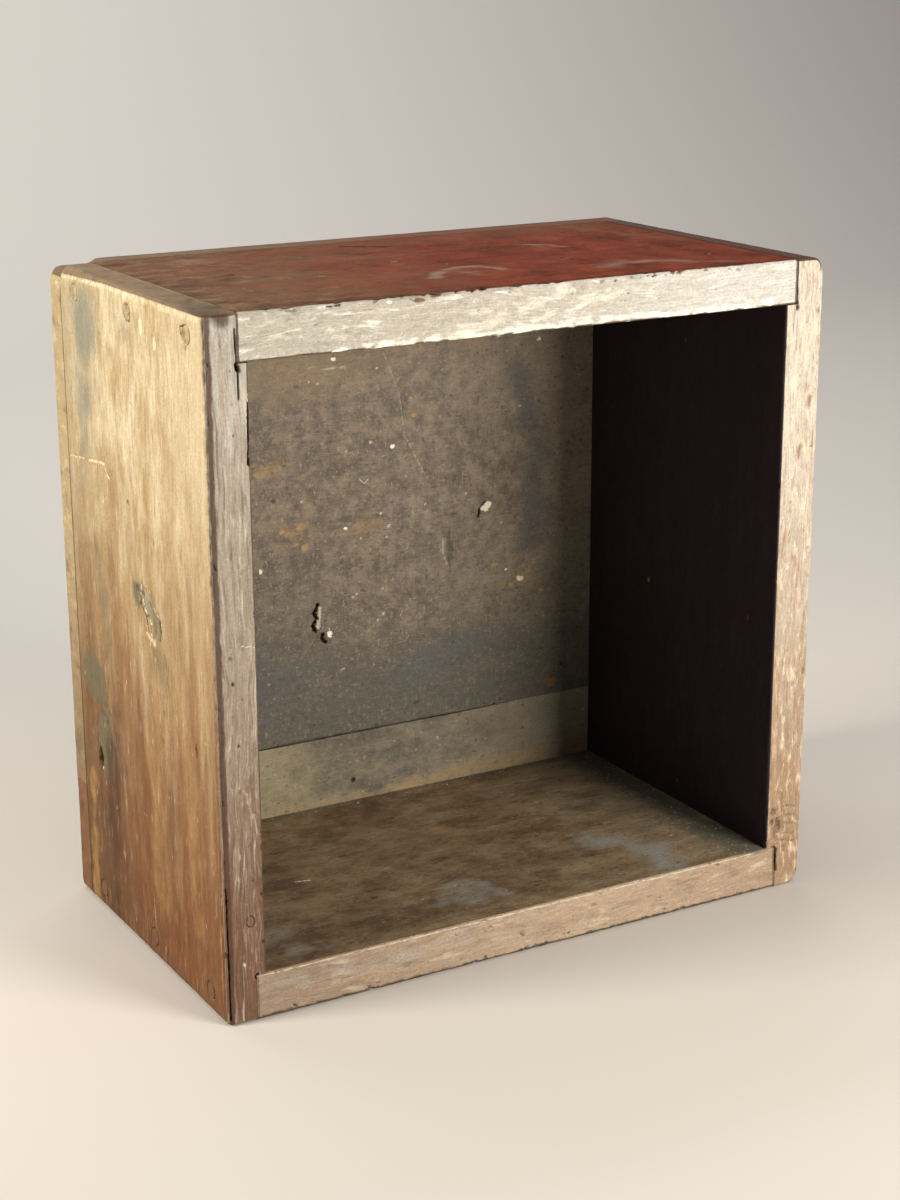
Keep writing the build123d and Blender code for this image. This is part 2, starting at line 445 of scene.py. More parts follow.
def build_board(name, spec, marks, material):
    """One board, from its lattice to its finished mesh, which stands for the board of the frame."""
    *axes, way = board_axes[name]
    low, high = (np.array(corner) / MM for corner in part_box(name))
    size = (high - low)[axes]
    origin = low[axes]
    if way < 0:
        origin[2] = high[axes[2]]
    shell = board_shell(spec, marks, size)
    mesh = bpy.data.meshes.new(name + "_wood")
    shell.to_mesh(mesh)
    shell.free()

    # Wear first, then everything that is pressed into the worn wood
    places = mesh_vectors(mesh.vertices, "co")
    worn = places + wear_down(places, size, spec["edges"], spec["seed"])
    if "warp" in spec:
        worn = spec["warp"](worn, places, size)
    mesh.vertices.foreach_set("co", worn.astype(np.float32).ravel())
    mesh.update()
    deep, tones = press_marks(spec, marks, places, size)
    pressed = mesh_vectors(mesh.vertex_normals, "vector") * deep[:, None]
    keep_planes(pressed, spec, places, size)

    # Set the board in place on the frame's axes
    turned = np.zeros((3, 3))
    turned[axes, range(3)] = (1, 1, way)
    world = (worn - pressed) @ turned.T
    world[:, axes] += origin
    if "spare" in spec:
        # A board may reach into the gap beside it
        axis, reach = spec["spare"]
        high[axes[axis]] += reach
    world = np.clip(world, low, high)
    mesh.vertices.foreach_set("co", (world * MM).astype(np.float32).ravel())
    if np.linalg.det(turned) < 0:
        mesh.flip_normals()

    for key, values in {**tones, **face_masks(places, size)}.items():
        attribute = mesh.attributes.new(key, "FLOAT", "POINT")
        attribute.data.foreach_set("value", values.astype(np.float32))
    mesh.polygons.foreach_set("use_smooth", np.ones(len(mesh.polygons), bool))
    mesh.set_sharp_from_angle(angle=math.radians(52))
    mesh.materials.append(material)
    mesh.validate()
    piece = linked(name + "_wood", mesh)
    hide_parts(name)
    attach(piece, "root")
    print(name, "triangles", sum(len(p.vertices) - 2 for p in mesh.polygons))


# Finish: one node tree for aged softwood, with each board's own colours and marks

def add(tree, kind, inputs=None, **settings):
    """Adds a node with its settings, and fills or links its inputs by name, identifier or place."""
    made = tree.nodes.new(kind)
    for name, value in settings.items():
        setattr(made, name, value)
    for key, value in (inputs or {}).items():
        if isinstance(key, int):
            socket = made.inputs[key]
        else:
            socket = next(s for s in made.inputs if key in (s.identifier, s.name))
        if isinstance(value, bpy.types.Node):
            value = next(s for s in value.outputs if s.enabled)
        if isinstance(value, bpy.types.NodeSocket):
            tree.links.new(value, socket)
        else:
            socket.default_value = value
    return made


def ramp(node, stops):
    """Sets the stops of a colour ramp from pairs of place and hex code."""
    elements = node.color_ramp.elements
    while len(elements) > 1:
        elements.remove(elements[-1])
    elements[0].position, elements[0].color = stops[0][0], linear(stops[0][1])
    for place, code in stops[1:]:
        elements.new(place).color = linear(code)


def empty_material(name):
    """Material whose node tree is still empty."""
    material = bpy.data.materials.new(name)
    material.use_nodes = True
    material.node_tree.nodes.clear()
    return material


# How each tone of the marks shows: its noise along and across the grain in millimetres, how ragged the
# noise makes it, where it starts and is full, and its strength
tone_layers = {
    "warm": ((60, 8), 0.8, (0.1, 0.95), 0.9),
    "slate": ((16, 7), 0.6, (0.05, 0.95), 0.9),
    "knot": ((9, 6), 0.7, (0.1, 0.9), 0.9),
    "rust": ((9, 5), 0.7, (0.15, 0.95), 0.85),
    "ochre": ((10, 5), 0.8, (0.12, 0.95), 0.85),
    "pale": ((6, 3), 0.7, (0.2, 0.95), 0.9),
    "bare": ((4, 2), 0.5, (0.3, 0.8), 0.95),
    "grime_and_shade": ((14, 3), 0.6, (0.12, 0.95), 0.92),
}


def wood_mask(tree, name):
    """Mask of a layer: one attribute, the product of several whose names a space parts, or a plain half."""
    if name == "all":
        return 0.5
    product = None
    for part in name.split():
        value = add(tree, "ShaderNodeAttribute", attribute_name=part).outputs["Fac"]
        if product is not None:
            value = add(tree, "ShaderNodeMath", {0: product, 1: value}, operation="MULTIPLY")
        product = value
    return product


def weighted(tree, grain, shares):
    """Sum of some of the grain's noises, each times its share."""
    total = None
    for key, share in shares.items():
        part = add(tree, "ShaderNodeMath", {0: grain[key], 1: share}, operation="MULTIPLY")
        total = part if total is None else add(tree, "ShaderNodeMath", {0: total, 1: part}, operation="ADD")
    return total


def board_place(tree, board, seed):
    """Place on a board in millimetres along its grain, across it and inwards, bent as a plank's grain is."""
    place = add(tree, "ShaderNodeTexCoord")
    split = add(tree, "ShaderNodeSeparateXYZ", {"Vector": place.outputs["Object"]})
    turned = add(tree, "ShaderNodeCombineXYZ", {
        letter: split.outputs["XYZ"[axis]] for letter, axis in zip("XYZ", board_axes[board])
    })
    # Millimetres from here on, shifted so that no two boards share a pattern
    flat = add(tree, "ShaderNodeVectorMath", {
        0: turned, 1: (1000, 1000, 1000), 2: (seed * 371, seed * 83, seed * 59),
    }, operation="MULTIPLY_ADD")
    slow = add(tree, "ShaderNodeVectorMath", {0: flat, 1: (1 / 90, 1 / 40, 1 / 40)}, operation="MULTIPLY")
    drift = add(tree, "ShaderNodeTexNoise", {"Vector": slow, "Scale": 1.0, "Detail": 3.0, "Roughness": 0.5})
    either_way = add(tree, "ShaderNodeVectorMath", {
        0: drift.outputs["Color"], 1: (0.5, 0.5, 0.5),
    }, operation="SUBTRACT")
    sideways = (0, 16, 16)
    return add(tree, "ShaderNodeVectorMath", {0: either_way, 1: sideways, 2: flat}, operation="MULTIPLY_ADD")


def wood_grain(tree, place, finish):
    """Noises of the grain at their real widths, from growth bands and streaks to open pores and grit."""
    grain = {}
    for key, length, width, detail, rough in (
        ("bands", 260, 11, 3, 0.55),
        ("streaks", *finish.get("streaks", (70, 2.4)), 4, 0.6),
        ("fibres", 16, 0.7, 3, 0.6),
        ("pores", 5, 0.45, 1, 0.5),
        ("mottle", *finish.get("mottle", (14, 9)), 5, 0.65),
        ("grit", 1.1, 1.0, 2, 0.6),
    ):
        scaled = add(tree, "ShaderNodeVectorMath", {
            0: place, 1: (1 / length, 1 / width, 1 / width),
        }, operation="MULTIPLY")
        grain[key] = add(tree, "ShaderNodeTexNoise", {
            "Vector": scaled, "Scale": 1.0, "Detail": float(detail), "Roughness": rough,
        })
    return grain


def wood_layer(tree, colour, place, number, layer):
    """Lays one layer over the colour, where its mask and a noise along the grain say so."""
    mask_name, code, (length, width), ragged, (start, full), strength = layer
    where = add(tree, "ShaderNodeVectorMath", {
        0: place, 1: (1 / length, 1 / width, 1 / width), 2: (number * 5.3, number * 3.1, number * 1.7),
    }, operation="MULTIPLY_ADD")
    noise = add(tree, "ShaderNodeTexNoise", {"Vector": where, "Scale": 1.0, "Detail": 4.0, "Roughness": 0.62})
    either_way = add(tree, "ShaderNodeMath", {0: noise, 1: 0.5}, operation="SUBTRACT")
    shaken = add(tree, "ShaderNodeMath", {
        0: either_way, 1: ragged, 2: wood_mask(tree, mask_name),
    }, operation="MULTIPLY_ADD")
    amount = add(tree, "ShaderNodeMapRange", {
        "Value": shaken, "From Min": start, "From Max": full, "To Max": strength,
    }, interpolation_type="SMOOTHSTEP")
    return add(tree, "ShaderNodeMix", {
        "Factor_Float": amount, "A_Color": colour, "B_Color": linear(code),
    }, data_type="RGBA")


def wood_flecks(tree, colour, place, grit, number, flecks):
    """Lays flecks of dust, paint or torn fibre over the colour, at most one to a cell."""
    mask_name, code, (length, width), radius, share, strength = flecks
    where = add(tree, "ShaderNodeVectorMath", {
        0: place, 1: (1 / length, 1 / width, 1 / width), 2: (number * 7.7, number * 9.1, number * 2.3),
    }, operation="MULTIPLY_ADD")
    shaken = add(tree, "ShaderNodeVectorMath", {
        0: grit.outputs["Color"], 1: (0.25, 0.25, 0.25), 2: where,
    }, operation="MULTIPLY_ADD")
    cells = add(tree, "ShaderNodeTexVoronoi", {"Vector": shaken, "Scale": 1.0})
    chance = add(tree, "ShaderNodeSeparateColor", {"Color": cells.outputs["Color"]})
    chosen = add(tree, "ShaderNodeMath", {0: chance.outputs["Red"], 1: share}, operation="LESS_THAN")
    size = add(tree, "ShaderNodeMapRange", {
        "Value": chance.outputs["Green"], "To Min": radius * 0.35, "To Max": radius,
    })
    inner = add(tree, "ShaderNodeMath", {0: size, 1: 0.55}, operation="MULTIPLY")
    dot = add(tree, "ShaderNodeMapRange", {
        "Value": cells.outputs["Distance"], "From Min": size, "From Max": inner, "To Max": strength,
    }, interpolation_type="SMOOTHSTEP")
    amount = add(tree, "ShaderNodeMath", {0: dot, 1: chosen}, operation="MULTIPLY")
    if mask_name != "all":
        amount = add(tree, "ShaderNodeMath", {0: amount, 1: wood_mask(tree, mask_name)}, operation="MULTIPLY")
    return add(tree, "ShaderNodeMix", {
        "Factor_Float": amount, "A_Color": colour, "B_Color": linear(code),
    }, data_type="RGBA")


def wood_shade(tree, grain, grit):
    """How much pores, fibres and grit darken or lighten the wood everywhere."""
    shade = None
    for key, low, high, dark, light in (
        ("pores", 0.62, 0.72, 1.0, 0.78),
        ("fibres", 0.3, 0.7, 1 - 0.16 * grit, 1 + 0.12 * grit),
        ("grit", 0.3, 0.7, 0.86, 1.12),
    ):
        part = add(tree, "ShaderNodeMapRange", {
            "Value": grain[key], "From Min": low, "From Max": high, "To Min": dark, "To Max": light,
        })
        if shade is not None:
            part = add(tree, "ShaderNodeMath", {0: shade, 1: part}, operation="MULTIPLY")
        shade = part
    return shade


def aged_wood(name, board, finish, seed):
    """Hand-planed softwood gone brown with age and use: streaks along the grain, then layers of wear, some of
    which paint shade, light or a reflection into the colour.
    """
    grit = finish.get("grit", 1.0)
    gloss = finish.get("gloss", 0.62)
    material = empty_material(name)
    tree = material.node_tree
    place = board_place(tree, board, seed)
    grain = wood_grain(tree, place, finish)
    mixed = weighted(tree, grain, dict(zip(("bands", "streaks", "fibres", "mottle"), finish["figure"])))
    spread = add(tree, "ShaderNodeMapRange", {"Value": mixed, "From Min": 0.40, "From Max": 0.60})
    colour = add(tree, "ShaderNodeValToRGB", {"Fac": spread})
    ramp(colour, finish["palette"])

    # Layers of age and of painted light and shade, then the tones of the marks, what lies over them, and the
    # flecks
    marked = [(tone, code, *tone_layers[tone]) for tone, code in finish["tones"].items()]
    for number, layer in enumerate(finish["layers"] + marked + finish.get("over", [])):
        colour = wood_layer(tree, colour, place, number, layer)
    for number, flecks in enumerate(finish["flecks"]):
        colour = wood_flecks(tree, colour, place, grain["grit"], number, flecks)
    shade = wood_shade(tree, grain, grit)
    colour = add(tree, "ShaderNodeVectorMath", {0: colour, "Scale": shade}, operation="SCALE")

    # Relief too fine for the mesh, and a surface that is duller where the mottle is pale
    height = weighted(tree, grain, {
        "streaks": 0.3 * grit, "fibres": 0.25 * grit, "pores": -0.1, "grit": 0.14, "mottle": 0.3,
    })
    bump = add(tree, "ShaderNodeBump", {"Height": height, "Strength": 0.7, "Distance": 0.0007})
    rough = add(tree, "ShaderNodeMapRange", {
        "Value": grain["mottle"], "From Min": 0.3, "From Max": 0.7,
        "To Min": gloss - 0.08, "To Max": gloss + 0.14,
    })
    shader = add(tree, "ShaderNodeBsdfPrincipled", {
        "Base Color": colour, "Roughness": rough, "Normal": bump, "IOR": 1.5,
        "Specular IOR Level": finish.get("shine", 0.35),
    })
    add(tree, "ShaderNodeOutputMaterial", {"Surface": shader})
    return material


def rusted_iron(name):
    """Hand-forged iron, rusted brown and caked with the dust and wax of the wood round it."""
    material = empty_material(name)
    tree = material.node_tree
    place = add(tree, "ShaderNodeTexCoord")
    flat = add(tree, "ShaderNodeVectorMath", {
        0: place.outputs["Object"], 1: (1000, 1000, 1000),
    }, operation="MULTIPLY")
    coarse, pits = (
        add(tree, "ShaderNodeTexNoise", {"Vector": flat, "Scale": size, "Detail": detail, "Roughness": rough})
        for size, detail, rough in ((0.28, 5.0, 0.65), (1.4, 3.0, 0.6))
    )
    colour = add(tree, "ShaderNodeValToRGB", {"Fac": coarse})
    ramp(colour, [(0.30, "6A563E"), (0.43, "94805E"), (0.54, "AE9A76"), (0.7, "C4B694")])
    split = add(tree, "ShaderNodeSeparateXYZ", {"Vector": place.outputs["Object"]})
    # Heads low on the box are browner; those on the back, which nobody rubbed or waxed, are rusted darker
    for letter, start, full, code, strength in (
        ("Z", 0.25, 0.06, "745234", 1.0),
        ("Y", 0.084, 0.088, "5A4030", 0.85),
    ):
        amount = add(tree, "ShaderNodeMapRange", {
            "Value": split.outputs[letter], "From Min": start, "From Max": full, "To Max": strength,
        })
        colour = add(tree, "ShaderNodeMix", {
            "Factor_Float": amount, "A_Color": colour, "B_Color": linear(code),
        }, data_type="RGBA")
    bump = add(tree, "ShaderNodeBump", {"Height": pits, "Strength": 0.8, "Distance": 0.0005})
    shader = add(tree, "ShaderNodeBsdfPrincipled", {
        "Base Color": colour, "Roughness": 0.82, "Metallic": 0.15, "Normal": bump,
    })
    add(tree, "ShaderNodeOutputMaterial", {"Surface": shader})
    return material


# Forged nails, in millimetres

head_thick = 1.7
nail_sockets = (
    ("Geometry", "NodeSocketGeometry", None),
    ("Head width", "NodeSocketFloat", 9.0 * MM),
    ("Head thickness", "NodeSocketFloat", head_thick * MM),
    ("Head sink", "NodeSocketFloat", 0.3 * MM),
    ("Shank width", "NodeSocketFloat", 4.0 * MM),
    ("Shank length", "NodeSocketFloat", 45.0 * MM),
    ("Hammering", "NodeSocketFloat", 0.4 * MM),
    ("Turn", "NodeSocketRotation", None),
    ("Seed", "NodeSocketInt", 1),
    ("Iron", "NodeSocketMaterial", None),
)


def nail_tree():
    """Geometry Nodes tree that sets one forged nail, hammered and tapered, at every point it is given."""
    tree = bpy.data.node_groups.new("forged_nails", "GeometryNodeTree")
    for label, kind, value in nail_sockets:
        socket = tree.interface.new_socket(label, in_out="INPUT", socket_type=kind)
        if value is not None:
            socket.default_value = value
    tree.interface.new_socket("Geometry", in_out="OUTPUT", socket_type="NodeSocketGeometry")
    given = add(tree, "NodeGroupInput").outputs

    # Radii of the head's rim and of its beaten top, of the square shank's corners and of its tip
    rim, top, corner, tip = (
        add(tree, "ShaderNodeMath", {0: given[width + " width"], 1: share}, operation="MULTIPLY")
        for width, share in (("Head", 0.5), ("Head", 0.42), ("Shank", 0.7071), ("Shank", 0.16))
    )
    drop = add(tree, "ShaderNodeMath", {0: given["Head sink"], 1: given["Head thickness"]}, operation="ADD")
    lower = add(tree, "ShaderNodeMath", {0: drop, 1: -1.0}, operation="MULTIPLY")
    under_head = add(tree, "ShaderNodeCombineXYZ", {"Z": lower})
    head = add(tree, "GeometryNodeMeshCone", {
        "Vertices": 20, "Side Segments": 3, "Fill Segments": 4,
        "Radius Top": top, "Radius Bottom": rim, "Depth": given["Head thickness"],
    })
    head = add(tree, "GeometryNodeTransform", {"Geometry": head.outputs["Mesh"], "Translation": under_head})
    shank = add(tree, "GeometryNodeMeshCone", {
        "Vertices": 4, "Side Segments": 8, "Fill Segments": 1,
        "Radius Top": tip, "Radius Bottom": corner, "Depth": given["Shank length"],
    })
    shank = add(tree, "GeometryNodeTransform", {
        "Geometry": shank.outputs["Mesh"], "Translation": under_head, "Rotation": (math.pi, 0.0, math.pi / 4),
    })
    joined = add(tree, "GeometryNodeJoinGeometry")
    tree.links.new(head.outputs[0], joined.inputs[0])
    tree.links.new(shank.outputs[0], joined.inputs[0])

    # Each nail leans a little and has its own turn
    spin = add(tree, "FunctionNodeRandomValue", {
        "Min": (-0.05, -0.05, 0.0), "Max": (0.05, 0.05, 6.28), "Seed": given["Seed"],
    }, data_type="FLOAT_VECTOR")
    seat = add(tree, "FunctionNodeRotateRotation", {
        "Rotation": given["Turn"],
        "Rotate By": add(tree, "FunctionNodeEulerToRotation", {"Euler": spin.outputs[0]}),
    }, rotation_space="LOCAL")
    nails = add(tree, "GeometryNodeInstanceOnPoints", {
        "Points": given["Geometry"], "Instance": joined, "Rotation": seat,
    })
    real = add(tree, "GeometryNodeRealizeInstances", {"Geometry": nails})
    ripple = add(tree, "ShaderNodeTexNoise", {
        "Vector": add(tree, "GeometryNodeInputPosition"), "Scale": 420.0, "Detail": 2.0,
    })
    either_way = add(tree, "ShaderNodeVectorMath", {
        0: ripple.outputs["Color"], 1: (0.5, 0.5, 0.5),
    }, operation="SUBTRACT")
    push = add(tree, "ShaderNodeVectorMath", {0: either_way, "Scale": given["Hammering"]}, operation="SCALE")
    beaten = add(tree, "GeometryNodeSetPosition", {"Geometry": real, "Offset": push})
    painted = add(tree, "GeometryNodeSetMaterial", {"Geometry": beaten, "Material": given["Iron"]})
    finished = add(tree, "NodeGroupOutput")
    tree.links.new(painted.outputs[0], finished.inputs[0])
    return tree


def drive_nails(name, tree, places, outward, length, iron, seed):
    """One mesh of nails for a node: their points on the wood's surface, and the way that the heads face."""
    points = bpy.data.meshes.new(name + "_points")
    points.from_pydata([tuple(np.array(p) * MM) for p in places], [], [])
    holder = linked(name + "_points", points)
    live = holder.modifiers.new("nails", "NODES")
    live.node_group = tree
    values = {
        "Shank length": (length - head_thick) * MM,
        "Turn": tuple(Vector((0, 0, 1)).rotation_difference(Vector(outward)).to_euler()),
        "Seed": seed,
        "Iron": iron,
    }
    for socket in tree.interface.items_tree:
        if socket.in_out == "INPUT" and socket.name in values:
            live[socket.identifier] = values[socket.name]
    graph = bpy.context.evaluated_depsgraph_get()
    mesh = bpy.data.meshes.new_from_object(holder.evaluated_get(graph))
    bpy.data.objects.remove(holder)
    piece = linked(name + "_forged", mesh)
    mesh.polygons.foreach_set("use_smooth", np.ones(len(mesh.polygons), bool))
    mesh.set_sharp_from_angle(angle=math.radians(40))
    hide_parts(name)
    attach(piece, "root")


camera_place = Vector((-0.5202, -0.9260, 0.4721))
camera_yaw = math.radians(29.62)
camera_pitch = math.radians(-16.78)
camera_roll = math.radians(-0.27)
forward = Vector((
    math.sin(camera_yaw) * math.cos(camera_pitch),
    math.cos(camera_yaw) * math.cos(camera_pitch),
    math.sin(camera_pitch),
))
level_right = Vector((math.cos(camera_yaw), -math.sin(camera_yaw), 0))
level_up = level_right.cross(forward)
right = level_right * math.cos(camera_roll) + level_up * math.sin(camera_roll)
up = level_up * math.cos(camera_roll) - level_right * math.sin(camera_roll)
lens = bpy.data.cameras.new("camera")
lens.sensor_width = 36
lens.lens = 67.48
lens.clip_start = 0.05
lens.clip_end = 50
camera = linked("camera", lens)
camera.matrix_world = Matrix.Translation(camera_place) @ Matrix((
    (right.x, up.x, -forward.x, 0),
    (right.y, up.y, -forward.y, 0),
    (right.z, up.z, -forward.z, 0),
    (0, 0, 0, 1),
))
bpy.context.scene.camera = camera


# Boards

def top_corner_reach(places, size):
    """Reach of the left board's top wear, which grows from the mouth to the back."""
    growth = (places[:, 1] / size[1]) ** 4
    return 1.8 + 3.7 * growth, 2.6 + 9.9 * growth


def seam_reach(places, size):
    """Reach of the wear along the seam between the back boards, which fades towards both ends."""
    reach = 0.02 + 0.22 * np.exp(-(((places[:, 0] - 150) / 75) ** 2))
    return reach, reach


def broken_back_edge(worn, places, size):
    """Lowers the worn-off stretch of the back's top edge beside its left corner."""
    drop = 2.1 * (1 - smooth(places[:, 0], 19, 24))
    near_top = smooth(places[:, 1], size[1] - 12, size[1] - 3)
    moved = worn.copy()
    moved[:, 1] -= drop * near_top
    return moved


seam_closed_by = 0.62
slot_closed_by = 0.7


def closing_seam(worn, places, size):
    """Brings the narrow back board up to the wide one towards both ends of their seam."""
    shut = 1 - smooth(places[:, 0], 60, 110) + smooth(places[:, 0], 210, 255)
    moved = worn.copy()
    moved[:, 1] += seam_closed_by * shut * smooth(places[:, 1], size[1] - 6, size[1] - 0.2)
    return moved


def closing_slot(worn, places, size):
    """Brings the lower part of the bottom board's right end up to the right board."""
    shut = 1 - smooth(places[:, 2], 8, 13)
    moved = worn.copy()
    moved[:, 0] += slot_closed_by * shut * smooth(places[:, 0], size[0] - 6, size[0] - 0.2)
    return moved


def board_thick(name):
    """Thickness of a board, read from the frame."""
    low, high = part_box(name)
    axis = board_axes[name][2]
    return round((high[axis] - low[axis]) / MM, 2)


rebate_heights = {"bottom": board_thick("bottom_board"), "top": board_thick("top_board")}

# Each edge row holds its two faces, how far its wear reaches into the board from each of them, or a function
# that says so, the power of its arc, which is 2 when round, and how uneven it is. Each relief row holds the
# grain sizes of a noise, its depth and its octaves. The steps are the lattice's cells on the board's own
# axes, and the tight faces touch another board.
side_rear_edges = [
    (("start", "rear"), (0.6, 0.6), 1.6, 0.3),
    (("stop", "rear"), (0.6, 0.6), 1.6, 0.3),
    (("outer", "rear"), (0.3, 0.3), 1.6, 0.4),
]
level_rest_edges = [
    (("start", "outer"), (0.3, 0.3), 1.6, 0.4),
    (("stop", "outer"), (0.3, 0.3), 1.6, 0.4),
    (("start", "front"), (0.15, 0.15), 1.6, 0.8),
    (("stop", "front"), (0.15, 0.15), 1.6, 0.8),
    (("start", "inner"), (0.5, 0.5), 1.6, 0.3),
    (("stop", "inner"), (0.5, 0.5), 1.6, 0.3),
    (("outer", "rear"), (0.6, 0.6), 1.6, 0.4),
    (("inner", "rear"), (0.4, 0.4), 1.6, 0.3),
]
side_board = {
    "steps": (2.6, 1.15, 1.0),
    "tight": ("rear",),
    "relief": [((160, 60, 60), 0.30, 1), ((60, 7, 7), 0.16, 2), ((40, 2.6, 2.6), 0.09, 1)],
}
level_board = {
    "steps": (2.4, 1.3, 1.0),
    "tight": ("start", "stop"),
    "relief": [((140, 60, 60), 0.30, 1), ((50, 8, 8), 0.16, 2), ((30, 3, 3), 0.08, 1)],
}
back_board = {
    "slot": "back_wood",
    "relief": [((120, 60, 60), 0.25, 1), ((15, 11, 11), 0.16, 3)],
}

board_specs = {
    "left_board": {
        **side_board,
        "slot": "left_wood",
        "seed": 11,
        "rebate": {"deep": 5.2, **rebate_heights},
        "edges": [
            (("outer", "stop"), top_corner_reach, 2.0, 0.18),
            (("outer", "start"), (3.0, 5.0), 2.0, 0.05),
            (("outer", "front"), (3.6, 2.4), 1.35, 0.22),
            (("inner", "front"), (1.0, 1.2), 1.7, 0.45),
            (("start", "front"), (1.4, 1.6), 1.7, 0.3),
            (("stop", "front"), (2.2, 2.4), 1.7, 0.3),
            *side_rear_edges,
        ],
    },
    "right_board": {
        **side_board,
        "slot": "right_wood",
        "seed": 23,
        "rebate": {"deep": 6.8, **rebate_heights},
        "edges": [
            (("outer", "stop"), (5.5, 12.0), 2.0, 0.05),
            (("outer", "start"), (8.0, 11.0), 2.0, 0.05),
            (("outer", "front"), (1.6, 1.4), 1.7, 0.35),
            (("inner", "front"), (1.2, 1.4), 1.8, 0.5),
            (("start", "front"), (1.2, 1.2), 1.7, 0.3),
            (("stop", "front"), (1.6, 1.6), 1.7, 0.3),
            *side_rear_edges,
        ],
    },
    "top_board": {
        **level_board,
        "slot": "top_wood",
        "seed": 37,
        "edges": [
            (("outer", "front"), (2.0, 2.0), 1.8, 0.35),
            (("inner", "front"), (0.9, 1.0), 1.7, 0.5),
            *level_rest_edges,
        ],
    },
    "bottom_board": {
        **level_board,
        "slot": "bottom_wood",
        "seed": 41,
        "edges": [
            (("inner", "front"), (1.4, 1.4), 1.7, 0.5),
            (("outer", "front"), (1.2, 1.2), 1.7, 0.4),
            *level_rest_edges,
        ],
        "warp": closing_slot,
        "spare": (0, slot_closed_by),
    },
    "back_wide_board": {
        **back_board,
        "seed": 53,
        "steps": (2.2, 1.6, 1.2),
        "tight": ("front",),
        "edges": [
            (("start", "rear"), (5.5, 12.5), 2.0, 0.05),
            (("stop", "rear"), (5.5, 12.0), 2.0, 0.05),
            (("start", "outer"), (1.0, 1.0), 1.6, 0.4),
            (("stop", "outer"), (1.0, 1.0), 1.6, 0.4),
            (("rear", "outer"), (1.2, 1.2), 1.6, 0.4),
            (("front", "inner"), seam_reach, 1.6, 0.9),
            (("front", "outer"), (0.8, 0.8), 1.6, 0.4),
        ],
        "warp": broken_back_edge,
    },
    "back_narrow_board": {
        **back_board,
        "seed": 67,
        "steps": (2.2, 1.3, 1.2),
        "tight": ("rear",),
        "edges": [
            (("start", "front"), (3.0, 5.0), 2.0, 0.05),
            (("stop", "front"), (8.0, 11.0), 2.0, 0.05),
            (("start", "outer"), (1.0, 1.0), 1.6, 0.4),
            (("stop", "outer"), (1.0, 1.0), 1.6, 0.4),
            (("rear", "outer"), (0.8, 0.8), 1.6, 0.4),
            (("rear", "inner"), seam_reach, 1.6, 0.9),
            (("front", "outer"), (1.2, 1.2), 1.6, 0.4),
        ],
        "warp": closing_seam,
        "spare": (1, seam_closed_by),
    },
}

# Nails, in millimetres: heights from the floor, depths from the mouth, and places to each side of the middle
half_width = round(cad_high[0] / MM, 2)
half_depth = round(cad_high[1] / MM, 2)
wide_back_low = round(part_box("back_wide_board")[0][2] / MM, 2)
top_nails = 309.25
bottom_nails = 11.25
side_nail_depths = (17.5, 82.5, 147.5)
back_nail_columns = (-95, 0, 95)
back_end_columns = (-149.75, 149)
wide_back_heights = (90.8, 187.15, 283.5)
narrow_back_height = 41.25
side_nail_places = [(z, y) for z in (top_nails, bottom_nails) for y in side_nail_depths]


# Marks of each board, face by face, where the photo has them: a tone, a place and sizes in millimetres along
# the board and across it, a strength, and a depth where the mark is pressed in. The nails' places repeat the
# frame's. The smallest nicks are scattered at random within their zones. Each mark's noise follows its
# number in its list.
board_marks = {name: [] for name in board_specs}

